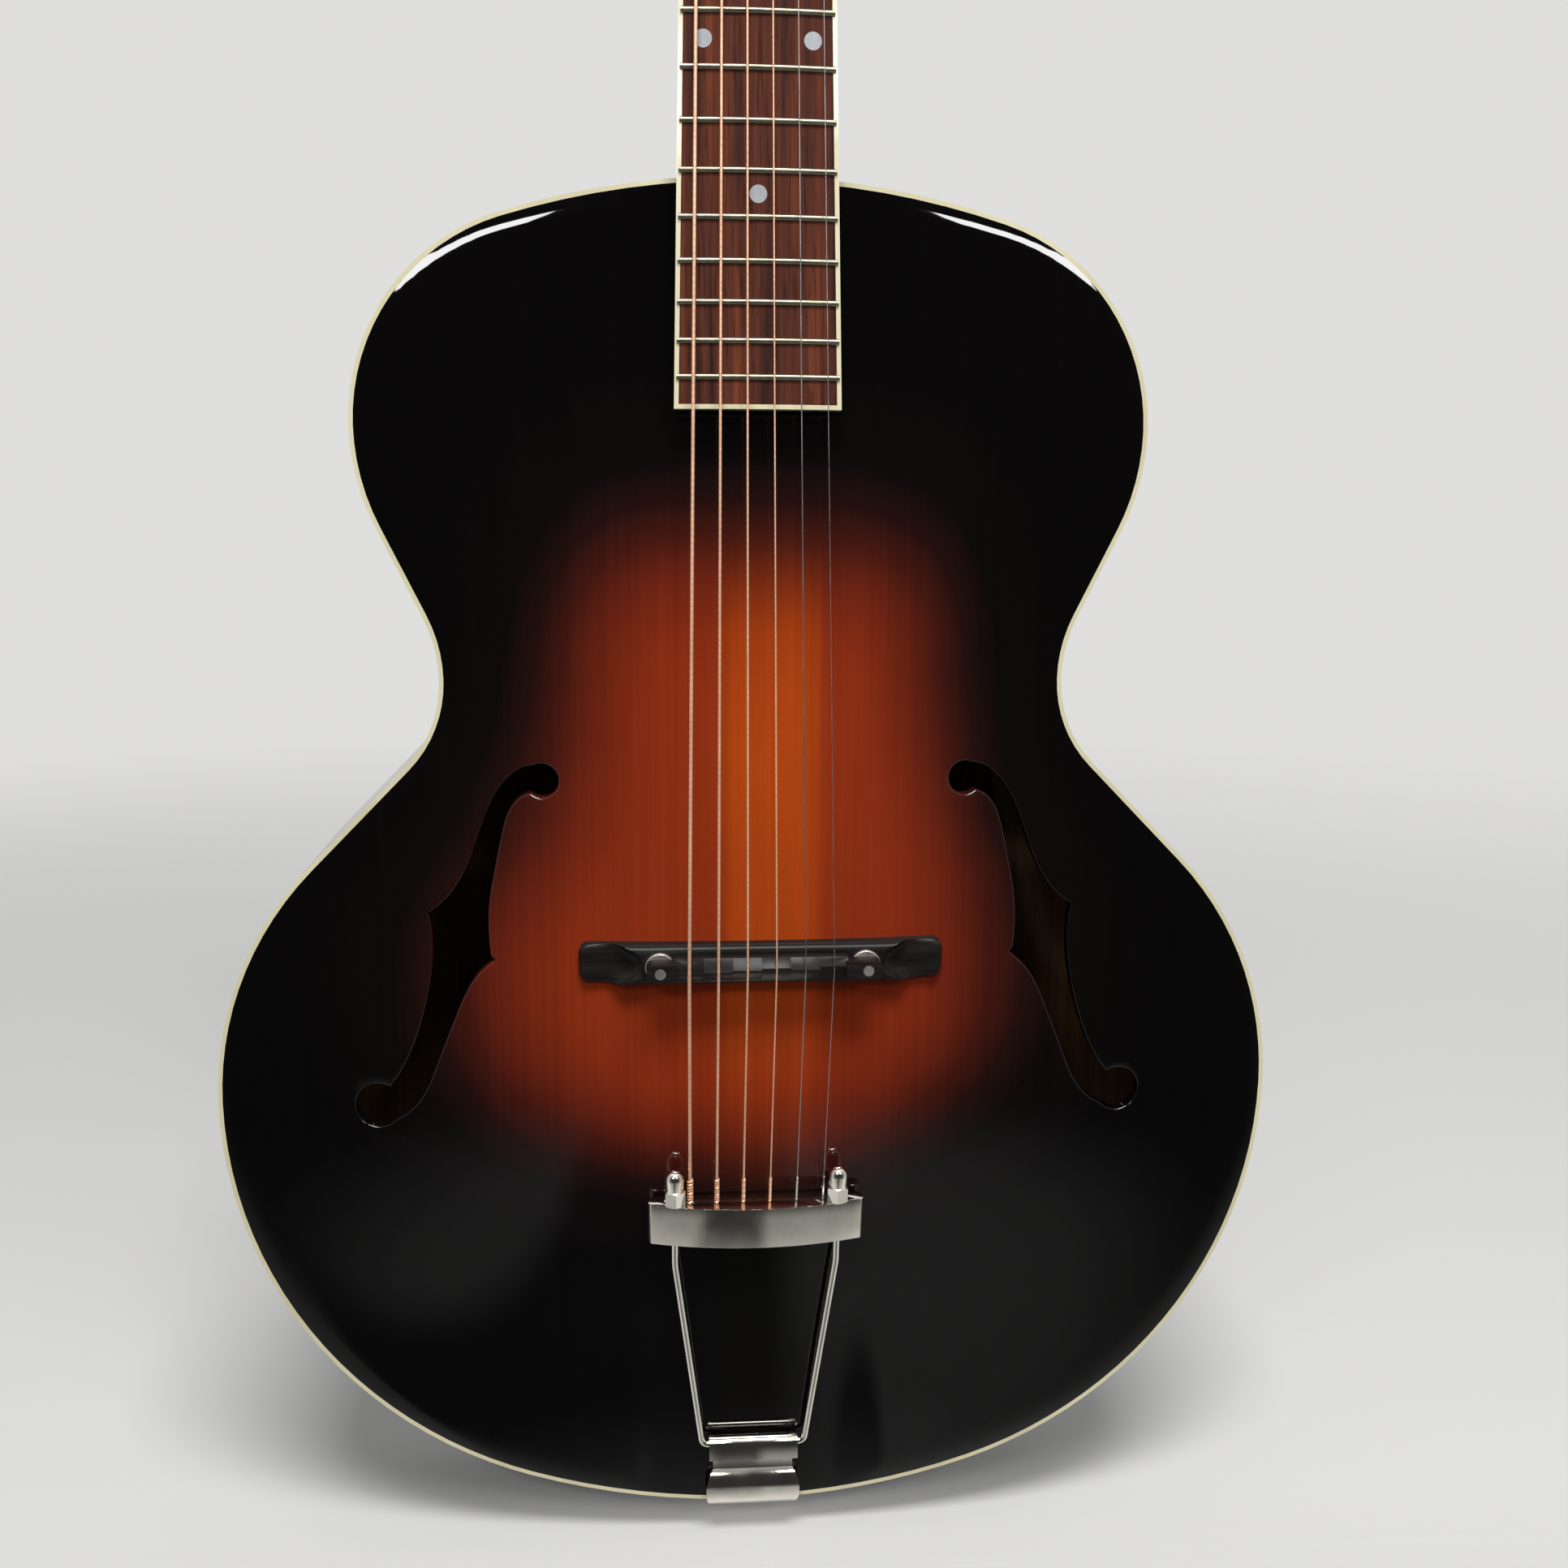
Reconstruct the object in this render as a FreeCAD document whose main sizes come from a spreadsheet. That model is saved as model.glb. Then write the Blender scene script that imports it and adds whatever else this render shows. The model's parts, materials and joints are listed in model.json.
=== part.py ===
import FreeCAD, Part
import Sketcher
import math
import os
from types import SimpleNamespace

from FreeCAD import Placement, Rotation, Vector

# Archtop guitar, in millimetres.
# +Z runs up the neck, the carved top faces -Y, +X is the treble side.
# The origin is the middle of the nut, on the fretboard's surface.

SIZES = {
    # scale, neck and fretboard
    "scale_length": 628.65,
    "fret_count": 19,
    "clear_fret_count": 14,
    "nut_width": 44.5,
    "board_end_width": 59.4,
    "board_tail": 11.0,
    "board_thickness": 6.0,
    "board_radius": 305.0,
    "board_binding": 1.6,
    "board_rise": 37.283,
    "neck_depth_nut": 15.0,
    "neck_depth_heel": 18.5,
    "heel_length": 58.0,
    "heel_run_in": 30.0,
    "heel_foot_width": 24.0,
    "heel_foot_length": 18.0,
    "heel_cap_thickness": 3.0,
    "tongue_gap": 0.8,
    "dovetail_length": 24.0,
    "dovetail_mouth": 22.0,
    "dovetail_root": 30.0,
    "dovetail_depth": 58.0,
    "joint_clearance": 0.05,
    "fret_width": 2.2,
    "fret_height": 1.1,
    "fret_end_gap": 0.8,
    "tang_width": 0.6,
    "tang_depth": 1.8,
    "dot_diameter": 6.2,
    "dot_thickness": 1.4,
    "double_dot_spacing": 38.0,
    "side_dot_diameter": 2.0,
    "side_dot_depth": 1.0,
    # nut
    "nut_length": 5.0,
    "nut_height": 2.7,
    "nut_slot_height": 1.4,
    "nut_spread": 36.0,
    # truss rod
    "truss_rod_diameter": 5.0,
    "truss_rod_depth": 12.5,
    "truss_rod_heel_gap": 13.6,
    "truss_rod_reach": 24.0,
    "truss_nut_across": 7.0,
    "truss_nut_length": 9.0,
    "truss_pocket_margin": 1.6,
    "truss_pocket_start": 3.0,
    "truss_pocket_end": 6.0,
    "cover_width": 22.0,
    "cover_tip_width": 11.0,
    "cover_shoulder": 11.4,
    "cover_length": 38.0,
    "cover_thickness": 1.6,
    "cover_start": 6.0,
    "cover_screw_diameter": 2.2,
    "cover_screw_inset": 3.0,
    # headstock
    "headstock_angle": 14.0,
    "headstock_length": 168.0,
    "headstock_waist": 46.5,
    "headstock_width": 72.0,
    "headstock_crown_width": 64.0,
    "headstock_shoulder": 33.6,
    "headstock_corner_drop": 11.8,
    "headstock_thickness": 13.5,
    "headstock_lift": 1.0,
    "veneer_thickness": 1.5,
    "headstock_step": 0.6,
    # body
    "rim_setback": 10.0,
    "body_depth": 84.0,
    "body_length": 512.6,
    "upper_bout": 289.8,
    "upper_bout_drop": 87.4,
    "waist": 231.4,
    "waist_drop": 178.8,
    "lower_bout": 405.4,
    "lower_bout_rise": 173.1,
    "shoulder_share": 0.883,
    "upper_bout_share": 0.530,
    "upper_waist_share": 0.336,
    "lower_waist_share": 0.239,
    "hip_share": 0.678,
    "lower_bout_share": 0.967,
    "plate_thickness": 5.0,
    "top_arch": 15.5,
    "back_arch": 17.0,
    "arch_margin": 10.0,
    "arch_rise_top": 205.0,
    "arch_rise_tail": 175.0,
    "arch_fullness": 1.2,
    "rib_thickness": 2.4,
    "binding_width": 1.6,
    "lining_width": 6.0,
    "lining_height": 14.0,
    "block_width": 76.0,
    "neck_block_length": 54.0,
    "end_block_length": 24.0,
    "tone_bar_width": 7.0,
    "tone_bar_depth": 16.0,
    "tone_bar_length": 330.0,
    "tone_bar_spread": 84.0,
    "upper_eye_diameter": 12.4,
    "lower_eye_diameter": 17.0,
    "f_hole_length": 124.7,
    "f_hole_offset_share": 0.27306,
    # strings, from the thick bass string to the thin treble string
    "string_6_diameter": 1.32,
    "string_5_diameter": 1.07,
    "string_4_diameter": 0.81,
    "string_3_diameter": 0.61,
    "string_2_diameter": 0.43,
    "string_1_diameter": 0.33,
    "string_6_compensation": 3.8,
    "string_5_compensation": 3.2,
    "string_4_compensation": 2.6,
    "string_3_compensation": 1.8,
    "string_2_compensation": 2.6,
    "string_1_compensation": 1.6,
    "saddle_spread": 53.0,
    "tail_spread": 50.4,
    "string_offset": 1.0,
    "string_height": 4.9,
    "string_seat_gap": 0.12,
    "string_bend_radius": 4.0,
    "winding_turns": 2.25,
    "winding_gap": 0.5,
    "winding_clearance": 0.3,
    "ball_diameter": 4.0,
    "ball_length": 3.6,
    # bridge
    "bridge_compensation": 2.6,
    "bridge_offset": 2.0,
    "bridge_base_length": 136.0,
    "bridge_base_width": 15.2,
    "bridge_corner_radius": 4.0,
    "bridge_base_height": 6.2,
    "bridge_deck_length": 88.0,
    "bridge_wing_height": 4.2,
    "post_spacing": 76.0,
    "post_diameter": 4.0,
    "post_seat_depth": 4.5,
    "post_stand": 10.8,
    "running_clearance": 0.05,
    "thumbwheel_diameter": 11.0,
    "thumbwheel_thickness": 2.4,
    "thumbwheel_lift": 0.6,
    "thumbwheel_chamfer": 0.4,
    "saddle_front": 4.8,
    "saddle_back": 3.4,
    "saddle_end_width": 6.8,
    "saddle_end_reach": 5.0,
    "saddle_end_rise": 3.4,
    "saddle_end_corner": 2.2,
    "saddle_ridge": 0.8,
    "saddle_crown": 3.2,
    # tailpiece
    "pin_height": 5.2,
    "pin_inset": 28.0,
    "trapeze_wire_diameter": 2.6,
    "trapeze_foot_width": 40.6,
    "trapeze_bar_width": 62.0,
    "trapeze_bend_radius": 2.8,
    "trapeze_top_radius": 30.0,
    "trapeze_straight": 10.0,
    "bar_reach_share": 0.4556,
    "bar_height": 16.6,
    "bar_width": 82.0,
    "bar_depth": 11.6,
    "bar_wall": 1.2,
    "bar_curve_radius": 165.0,
    "bar_end_wall": 3.2,
    "bar_end_bulge": 1.0,
    "bar_corner": 4.5,
    "string_hole_clearance": 0.35,
    "acorn_across": 7.6,
    "acorn_hex_length": 6.2,
    "acorn_turn": 24.0,
    "acorn_dome_length": 8.0,
    "barrel_length": 35.2,
    "barrel_diameter": 6.6,
    "barrel_lip_drop": 5.4,
    "barrel_lip_flare": 0.5,
    "strap_thickness": 1.2,
    "strap_waist": 31.9,
    "strap_bulge": 37.3,
    "strap_width": 35.0,
    "strap_bend_radius": 10.0,
    "strap_bend_lean": 33.0,
    "strap_edge_gap": 0.35,
    "strap_joggle": 7.0,
    "strap_tail_length": 62.0,
    "strap_seat_gap": 0.05,
    "wood_screw_diameter": 3.0,
    "wood_screw_head": 6.0,
    "wood_screw_length": 18.0,
    "bracket_screw_spread": 16.0,
    "bracket_screw_drop": 16.0,
    "bracket_low_screw_inset": 4.0,
    "end_pin_shank": 9.0,
    "end_pin_head": 15.0,
    "end_pin_stand": 13.0,
    "end_pin_depth": 36.0,
    # tuners
    "tuner_first": 40.0,
    "tuner_pitch": 41.0,
    "tuner_post_offset": 20.0,
    "tuner_post_diameter": 6.0,
    "tuner_post_stand": 12.0,
    "post_hole_diameter": 1.8,
    "string_wind_height": 7.6,
    "bushing_diameter": 8.4,
    "bushing_length": 8.1,
    "bushing_chamfer": 0.4,
    "bushing_flange": 11.0,
    "bushing_flange_thickness": 1.2,
    "tuner_plate_width": 21.0,
    "tuner_plate_overhang": 17.0,
    "tuner_plate_thickness": 1.2,
    "gear_teeth": 16,
    "gear_module": 0.65,
    "gear_addendum": 0.585,
    "gear_dedendum": 0.78,
    "tooth_root_share": 0.6,
    "tooth_tip_share": 0.2,
    "gear_thickness": 3.2,
    "gear_standoff": 1.8,
    "worm_pitch_radius": 2.5,
    "worm_length": 8.0,
    "worm_turns": 3,
    "worm_shaft_diameter": 3.0,
    "worm_addendum": 0.52,
    "worm_dedendum": 0.715,
    "thread_root_share": 0.56,
    "thread_crest_share": 0.2,
    "ear_thickness": 2.2,
    "ear_rim": 1.3,
    "ear_gap": 0.4,
    "button_reach": 42.0,
    "button_length": 15.0,
    "button_height": 18.0,
    "button_thickness": 7.0,
    "button_collar": 1.2,
    "plate_screw_diameter": 2.4,
    "plate_screw_head": 4.6,
    "plate_screw_edge": 1.0,
    "plate_screw_length": 9.0,
}

doc = FreeCAD.newDocument("archtop_guitar")
sheet = doc.addObject("Spreadsheet::Sheet", "Sizes")
for row, (alias, value) in enumerate(SIZES.items(), start=1):
    sheet.set(f"A{row}", alias)
    sheet.set(f"B{row}", str(value))
    sheet.setAlias(f"B{row}", alias)
doc.recompute()
d = SimpleNamespace(**{alias: float(sheet.get(alias)) for alias in SIZES})

ORIGIN = Vector(0, 0, 0)
X_AXIS = Vector(1, 0, 0)
Y_AXIS = Vector(0, 1, 0)
Z_AXIS = Vector(0, 0, 1)
LEFT_RIGHT = (-1, 1)
FAR = 1000.0
OVERLAP = 1.0
STRING_NAMES = (6, 5, 4, 3, 2, 1)

pieces = []


# Helpers for document objects and plain shapes

def number(expression):
    return float(sheet.evalExpression(expression))


def publish(item, label):
    item.Label = label
    pieces.append(item)
    return item


def feature(label, shape, placement=None):
    item = doc.addObject("Part::Feature", label)
    item.Shape = shape.removeSplitter() if shape.ShapeType != "Compound" else shape
    if placement:
        item.Placement = placement.multiply(item.Placement)
    return publish(item, label)


def moved(shape, placement):
    copy = shape.copy()
    copy.Placement = placement.multiply(copy.Placement)
    return copy


def box(x_low, x_high, y_low, y_high, z_low, z_high):
    corner = Vector(x_low, y_low, z_low)
    return Part.makeBox(x_high - x_low, y_high - y_low, z_high - z_low, corner)


def rod(radius, start, end):
    return Part.makeCylinder(radius, (end - start).Length, start, end - start)


def prism(corners, sweep):
    return Part.Face(Part.makePolygon(corners + corners[:1])).extrude(sweep)


def curve_edge(points):
    curve = Part.BSplineCurve()
    curve.interpolate(points)
    return curve.toShape()


def line_edge(start, end):
    return Part.LineSegment(start, end).toShape()


def mirrored(shape):
    return shape.mirror(ORIGIN, X_AXIS)


def fused(shapes):
    return shapes[0].fuse(shapes[1:])


def cut_all(shape, tools):
    return shape.cut(Part.makeCompound(tools))


def origin_plane(body, role):
    return next(plane for plane in body.Origin.OriginFeatures if plane.Role == role)


def pin_corner(sketch, line, corner):
    # Ties a corner's two coordinates to expressions; a leading minus sign measures the other way.
    for kind, axis, text in (("DistanceX", -2, corner[0]), ("DistanceY", -1, corner[1])):
        if text == "0":
            sketch.addConstraint(Sketcher.Constraint("PointOnObject", line, 1, axis))
            continue
        ends = (line, 1, -1, 1) if text.startswith("-") else (-1, 1, line, 1)
        expression = text.lstrip("-")
        index = sketch.addConstraint(Sketcher.Constraint(kind, *ends, number(expression)))
        sketch.setExpression(f"Constraints[{index}]", expression)


def polygon_sketch(body, role, corners):
    sketch = body.newObject("Sketcher::SketchObject", f"{body.Name}_profile")
    sketch.AttachmentSupport = [(origin_plane(body, role), "")]
    sketch.MapMode = "FlatFace"
    spots = []
    for across, along in corners:
        spots.append(Vector(signed(across), signed(along), 0))
    count = len(spots)
    for index in range(count):
        sketch.addGeometry(Part.LineSegment(spots[index], spots[(index + 1) % count]))
    for index in range(count):
        sketch.addConstraint(Sketcher.Constraint("Coincident", index, 2, (index + 1) % count, 1))
    for index, corner in enumerate(corners):
        pin_corner(sketch, index, corner)
    return sketch


def signed(text):
    return -number(text.lstrip("-")) if text.startswith("-") else number(text)


def turned_body(name, corners):
    # A lathe-turned piece: the corners are (radius, height) about local +Z.
    body = doc.addObject("PartDesign::Body", name)
    sketch = polygon_sketch(body, "XZ_Plane", corners)
    turning = body.newObject("PartDesign::Revolution", f"{name}_turning")
    turning.Profile = sketch
    turning.ReferenceAxis = (sketch, ["V_Axis"])
    turning.Angle = 360
    doc.recompute()
    return body


def padded_body(name, corners, height):
    # A flat piece: the corners lie in local XY and the height runs up local +Z.
    body = doc.addObject("PartDesign::Body", name)
    sketch = polygon_sketch(body, "XY_Plane", corners)
    pad = body.newObject("PartDesign::Pad", f"{name}_pad")
    pad.Profile = sketch
    pad.Length = number(height)
    pad.setExpression("Length", height)
    doc.recompute()
    return body


# Shared places

neck_tilt = math.asin(d.board_rise / d.scale_length)
neck_frame = Placement(ORIGIN, Rotation(X_AXIS, -math.degrees(neck_tilt)))


def fret_distance(fret):
    return d.scale_length * (1 - 2 ** (-fret / 12))


board_length = fret_distance(d.fret_count) + d.board_tail
neck_length = fret_distance(d.clear_fret_count)
truss_rod_length = neck_length - d.truss_rod_heel_gap
join = neck_length * math.cos(neck_tilt)
rim_front = -d.rim_setback
rim_back = rim_front + d.body_depth
ribs_front = rim_front + d.plate_thickness
ribs_back = rim_back - d.plate_thickness
tail_end = -join - d.body_length

headstock_base = Vector(0, d.board_thickness - d.headstock_lift, d.nut_length + d.headstock_step)
headstock_frame = neck_frame.multiply(Placement(headstock_base, Rotation(X_AXIS, -d.headstock_angle)))
headstock_back = d.veneer_thickness + d.headstock_thickness


def board_width(distance):
    return d.nut_width + (d.board_end_width - d.nut_width) * distance / board_length


# Body outline: tangent arcs and lines, from the neck end to the tail, moved inwards by an inset

def bend_limit(across, along):
    # The two radii of a bend sideways and back add up to this where no straight run is left between them.
    return (across ** 2 + along ** 2) / (2 * across)


lower_bout_drop = d.body_length - d.lower_bout_rise
upper_limit = bend_limit((d.upper_bout - d.waist) / 2, d.waist_drop - d.upper_bout_drop)
lower_limit = bend_limit((d.lower_bout - d.waist) / 2, lower_bout_drop - d.waist_drop)


def outline_runs(inset):
    top = -join - inset
    bottom = tail_end + inset
    upper = d.upper_bout / 2 - inset
    waist = d.waist / 2 - inset
    lower = d.lower_bout / 2 - inset
    upper_z = -join - d.upper_bout_drop
    waist_z = -join - d.waist_drop
    lower_z = -join - lower_bout_drop
    shoulder = d.shoulder_share * d.upper_bout_drop - inset
    upper_r = d.upper_bout_share * upper_limit - inset
    waist_up = d.upper_waist_share * upper_limit + inset
    waist_low = d.lower_waist_share * lower_limit + inset
    hip = d.hip_share * lower_limit - inset
    lower_r = d.lower_bout_share * d.lower_bout_rise - inset

    across = upper - shoulder
    along = top - upper_z
    crown = (across ** 2 + along ** 2 - shoulder ** 2) / (2 * (along - shoulder))
    meet = math.atan2(upper_z - top + crown, across)
    runs = [(0, top - crown, crown, math.pi / 2, meet), (across, upper_z, shoulder, meet, 0)]

    turn, lean = tangent_angles(upper - upper_r, upper_z, upper_r, waist + waist_up, waist_z, waist_up)
    runs.append((upper - upper_r, upper_z, upper_r, 0, turn + lean))
    runs.append((waist + waist_up, waist_z, waist_up, turn + lean + math.pi, math.pi))

    turn, lean = tangent_angles(waist + waist_low, waist_z, waist_low, lower - hip, lower_z, hip)
    angle = (turn - lean) % (2 * math.pi)
    runs.append((waist + waist_low, waist_z, waist_low, math.pi, angle))
    runs.append((lower - hip, lower_z, hip, angle - math.pi, 0))

    across = lower - lower_r
    along = lower_z - bottom
    butt = (across ** 2 + along ** 2 - lower_r ** 2) / (2 * (along - lower_r))
    meet = math.atan2(lower_z - bottom - butt, across)
    runs.append((across, lower_z, lower_r, 0, meet))
    runs.append((0, bottom + butt, butt, meet, -math.pi / 2))
    return runs


def tangent_angles(x_one, z_one, r_one, x_two, z_two, r_two):
    # Direction between two circles, and the lean of the line that crosses between them.
    turn = math.atan2(z_two - z_one, x_two - x_one)
    lean = math.acos((r_one + r_two) / math.hypot(x_two - x_one, z_two - z_one))
    return turn, lean


def run_point(run, angle, y=0.0):
    return Vector(run[0] + run[2] * math.cos(angle), y, run[1] + run[2] * math.sin(angle))


def outline_wire(inset, y):
    edges = []
    last = None
    for run in outline_runs(inset):
        start, end = run[3], run[4]
        first = run_point(run, start, y)
        if last and (first - last).Length > 1e-6:
            edges.append(line_edge(last, first))
        last = run_point(run, end, y)
        edges.append(Part.Arc(first, run_point(run, (start + end) / 2, y), last).toShape())
    edges += [mirrored(edge) for edge in edges]
    return Part.Wire(Part.__sortEdges__(edges))


def outline_prism(inset, y_low, y_high):
    return Part.Face(outline_wire(inset, y_low)).extrude(Vector(0, y_high - y_low, 0))


def outline_ring(outer, inner, y_low, y_high):
    return outline_prism(outer, y_low, y_high).cut(outline_prism(inner, y_low - OVERLAP, y_high + OVERLAP))


def half_width(runs, z):
    last = None
    for run in runs:
        first = run_point(run, run[3])
        end = run_point(run, run[4])
        if last and last.z >= z >= first.z:
            return last.x + (first.x - last.x) * (last.z - z) / (last.z - first.z)
        if first.z >= z >= end.z:
            side = 1 if math.cos((run[3] + run[4]) / 2) > 0 else -1
            return run[0] + side * math.sqrt(max(0.0, run[2] ** 2 - (z - run[1]) ** 2))
        last = end
    return 0.0


# Carved arch: full in the middle, level in a margin all round

ARCH_RUNS = outline_runs(d.arch_margin)
ARCH_COLUMNS = 41
ARCH_ROWS = 53


def ramp(share):
    return 0.5 - 0.5 * math.cos(math.pi * min(1.0, max(0.0, share)))


def arch_share(x, z):
    width = half_width(ARCH_RUNS, z)
    if abs(x) >= width:
        return 0.0
    across = 0.5 + 0.5 * math.cos(math.pi * (abs(x) / width) ** d.arch_fullness)
    from_top = -join - d.arch_margin - z
    from_tail = z - tail_end - d.arch_margin
    return across * ramp(from_top / d.arch_rise_top) * ramp(from_tail / d.arch_rise_tail)


def top_face_y(x, z):
    return rim_front - d.top_arch * arch_share(x, z)


def arched_face(level, height):
    spare = 2 * d.plate_thickness
    reach = d.lower_bout / 2 + spare
    length = d.body_length + 2 * spare
    rows = []
    for column in range(ARCH_COLUMNS):
        x = reach * (2 * column / (ARCH_COLUMNS - 1) - 1)
        points = []
        for step in range(ARCH_ROWS):
            z = tail_end - spare + length * step / (ARCH_ROWS - 1)
            points.append(Vector(x, level + height * arch_share(x, z), z))
        rows.append(points)
    surface = Part.BSplineSurface()
    surface.interpolate(rows)
    return surface.toShape()


top_outer = arched_face(rim_front, -d.top_arch)
top_inner = arched_face(ribs_front, -d.top_arch)
back_inner = arched_face(ribs_back, d.back_arch)

# F-holes: drawn about the middle between the two eyes, at the bridge line, for eyes F_HOLE_DRAWN apart

bridge_line = neck_frame.multVec(Vector(0, 0, -d.scale_length - d.bridge_compensation)).z
f_hole_offset = d.f_hole_offset_share * d.lower_bout
F_HOLE_DRAWN = 124.7
UPPER_EYE = (-31.9, 66.8)
LOWER_EYE = (31.9, -57.9)
INNER_UPPER = ((-29.7, 62.4), (-24.3, 60.9), (-15.4, 40.8), (-11.5, 19.0), (-12.0, 1.3))
INNER_NICK = (-13.5, -0.5)
INNER_LOWER = ((-10.5, -2.9), (-5.8, -7.7), (1.8, -22.7), (8.7, -39.9), (18.1, -58.1), (25.8, -63.5))
OUTER_LOWER = ((27.8, -51.5), (21.2, -41.6), (13.9, -22.6), (10.0, -3.3), (9.9, 11.7))
OUTER_NICK = (10.9, 17.0)
OUTER_UPPER = ((6.8, 19.9), (-1.0, 29.3), (-8.0, 45.8), (-14.0, 60.5), (-23.7, 70.9), (-31.2, 72.4))


def f_hole_spot(spot):
    scale = d.f_hole_length / F_HOLE_DRAWN
    return Vector(f_hole_offset + spot[0] * scale, -FAR / 10, bridge_line + spot[1] * scale)


def f_hole_tool():
    runs = [INNER_UPPER, INNER_LOWER, OUTER_LOWER, OUTER_UPPER]
    edges = [curve_edge([f_hole_spot(spot) for spot in run]) for run in runs]
    corners = (
        (INNER_UPPER[-1], INNER_NICK),
        (INNER_NICK, INNER_LOWER[0]),
        (INNER_LOWER[-1], OUTER_LOWER[0]),
        (OUTER_LOWER[-1], OUTER_NICK),
        (OUTER_NICK, OUTER_UPPER[0]),
        (OUTER_UPPER[-1], INNER_UPPER[0]),
    )
    edges += [line_edge(f_hole_spot(start), f_hole_spot(end)) for start, end in corners]
    depth = Vector(0, FAR / 10 + ribs_front, 0)
    stem = Part.Face(Part.Wire(Part.__sortEdges__(edges))).extrude(depth)
    upper = Part.makeCylinder(d.upper_eye_diameter / 2, depth.y, f_hole_spot(UPPER_EYE), Y_AXIS)
    lower = Part.makeCylinder(d.lower_eye_diameter / 2, depth.y, f_hole_spot(LOWER_EYE), Y_AXIS)
    return fused([stem, upper, lower])


# Neck joint: a dovetail that slides in from the front

def dovetail(spare, y_low, y_high):
    mouth = d.dovetail_mouth / 2 + spare
    root = d.dovetail_root / 2 + spare
    depth = -join - d.dovetail_length - spare
    corners = [
        Vector(-mouth, y_low, -join + d.heel_foot_length / 2),
        Vector(mouth, y_low, -join + d.heel_foot_length / 2),
        Vector(mouth, y_low, -join),
        Vector(root, y_low, depth),
        Vector(-root, y_low, depth),
        Vector(-mouth, y_low, -join),
    ]
    return prism(corners, Vector(0, y_high - y_low, 0))


mortise_floor = rim_front + d.dovetail_depth + d.joint_clearance
mortise = dovetail(d.joint_clearance, rim_front - d.top_arch, mortise_floor)

# Fasteners at the tail: where each screw and the end pin enter

screw_spots = [
    (-d.bracket_screw_spread / 2, rim_front + d.bracket_screw_drop),
    (d.bracket_screw_spread / 2, rim_front + d.bracket_screw_drop),
    (0.0, rim_front + d.strap_tail_length - d.bracket_low_screw_inset),
]
end_pin_y = rim_front + d.end_pin_depth


def tail_holes(spare):
    reach = d.wood_screw_length + 4 * d.strap_thickness
    tools = []
    for x, y in screw_spots:
        radius = d.wood_screw_diameter / 2 + spare
        tools.append(Part.makeCylinder(radius, reach, Vector(x, y, tail_end - 2 * d.strap_thickness)))
    radius = d.end_pin_shank / 2 + spare
    depth = d.end_block_length + 4 * d.strap_thickness
    tools.append(Part.makeCylinder(radius, depth, Vector(0, end_pin_y, tail_end - 3 * d.strap_thickness)))
    return tools


# Body: plates, ribs, linings, blocks, bars and bindings

def make_body():
    holes = f_hole_tool()
    blank = outline_prism(d.binding_width, -FAR / 10, FAR / 10 + rim_back)
    top = blank.common(top_outer.extrude(Vector(0, d.plate_thickness, 0)))
    feature("top_plate", cut_all(top, [holes, mirrored(holes), mortise]))
    feature("back_plate", blank.common(back_inner.extrude(Vector(0, d.plate_thickness, 0))))

    holes = tail_holes(d.joint_clearance)
    ribs = cut_all(outline_ring(0, d.rib_thickness, ribs_front, ribs_back), [mortise] + holes)
    halves = []
    for low, high in ((-FAR, 0), (0, FAR)):
        halves += ribs.common(box(low, high, -FAR, FAR, -FAR, 0)).Solids
    feature("sides", Part.makeCompound(halves))

    half_block = d.block_width / 2
    inner = outline_prism(d.rib_thickness, ribs_front, ribs_back)
    neck_space = box(-half_block, half_block, ribs_front, ribs_back, -join - d.neck_block_length, 0)
    end_space = box(-half_block, half_block, ribs_front, ribs_back, -FAR, tail_end + d.end_block_length)
    feature("neck_block", inner.common(neck_space).cut(mortise))
    feature("end_block", cut_all(inner.common(end_space), holes))

    strips = []
    for low in (ribs_front, ribs_back - d.lining_height):
        high = low + d.lining_height
        strip = outline_ring(d.rib_thickness, d.rib_thickness + d.lining_width, low, high)
        strips += cut_all(strip, [neck_space, end_space]).Solids
    feature("linings", Part.makeCompound(strips))

    bars = []
    middle = bridge_line + d.tone_bar_length / 12
    front = top_inner.extrude(Vector(0, -FAR / 10, 0))
    for side in LEFT_RIGHT:
        x = side * d.tone_bar_spread / 2
        low = x - d.tone_bar_width / 2
        half = d.tone_bar_length / 2
        y_high = top_face_y(x, bridge_line) + d.plate_thickness + d.tone_bar_depth
        bar = box(low, low + d.tone_bar_width, rim_front - d.top_arch, y_high, middle - half, middle + half)
        bars += bar.cut(front).Solids
    feature("tone_bars", Part.makeCompound(bars))

    edge = outline_ring(0, d.binding_width, rim_front, ribs_front)
    feature("top_binding", edge.cut(mortise))
    feature("back_binding", outline_ring(0, d.binding_width, ribs_back, rim_back))


# Neck: shaft, heel, dovetail tongue and headstock in one piece of wood

SECTION_STEPS = 12


def shaft_section(distance, depth):
    half = board_width(distance) / 2
    bow = []
    for step in range(SECTION_STEPS + 1):
        turn = math.pi * step / SECTION_STEPS
        bow.append(Vector(half * math.cos(turn), d.board_thickness + depth * math.sin(turn), -distance))
    return Part.Wire([curve_edge(bow), line_edge(bow[-1], bow[0])])


def under_board(z):
    return d.board_thickness / math.cos(neck_tilt) + z * math.tan(neck_tilt)


HEEL_STEPS = 7


def shaft_depth(distance):
    return d.neck_depth_nut + (d.neck_depth_heel - d.neck_depth_nut) * max(distance, 0) / neck_length


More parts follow.
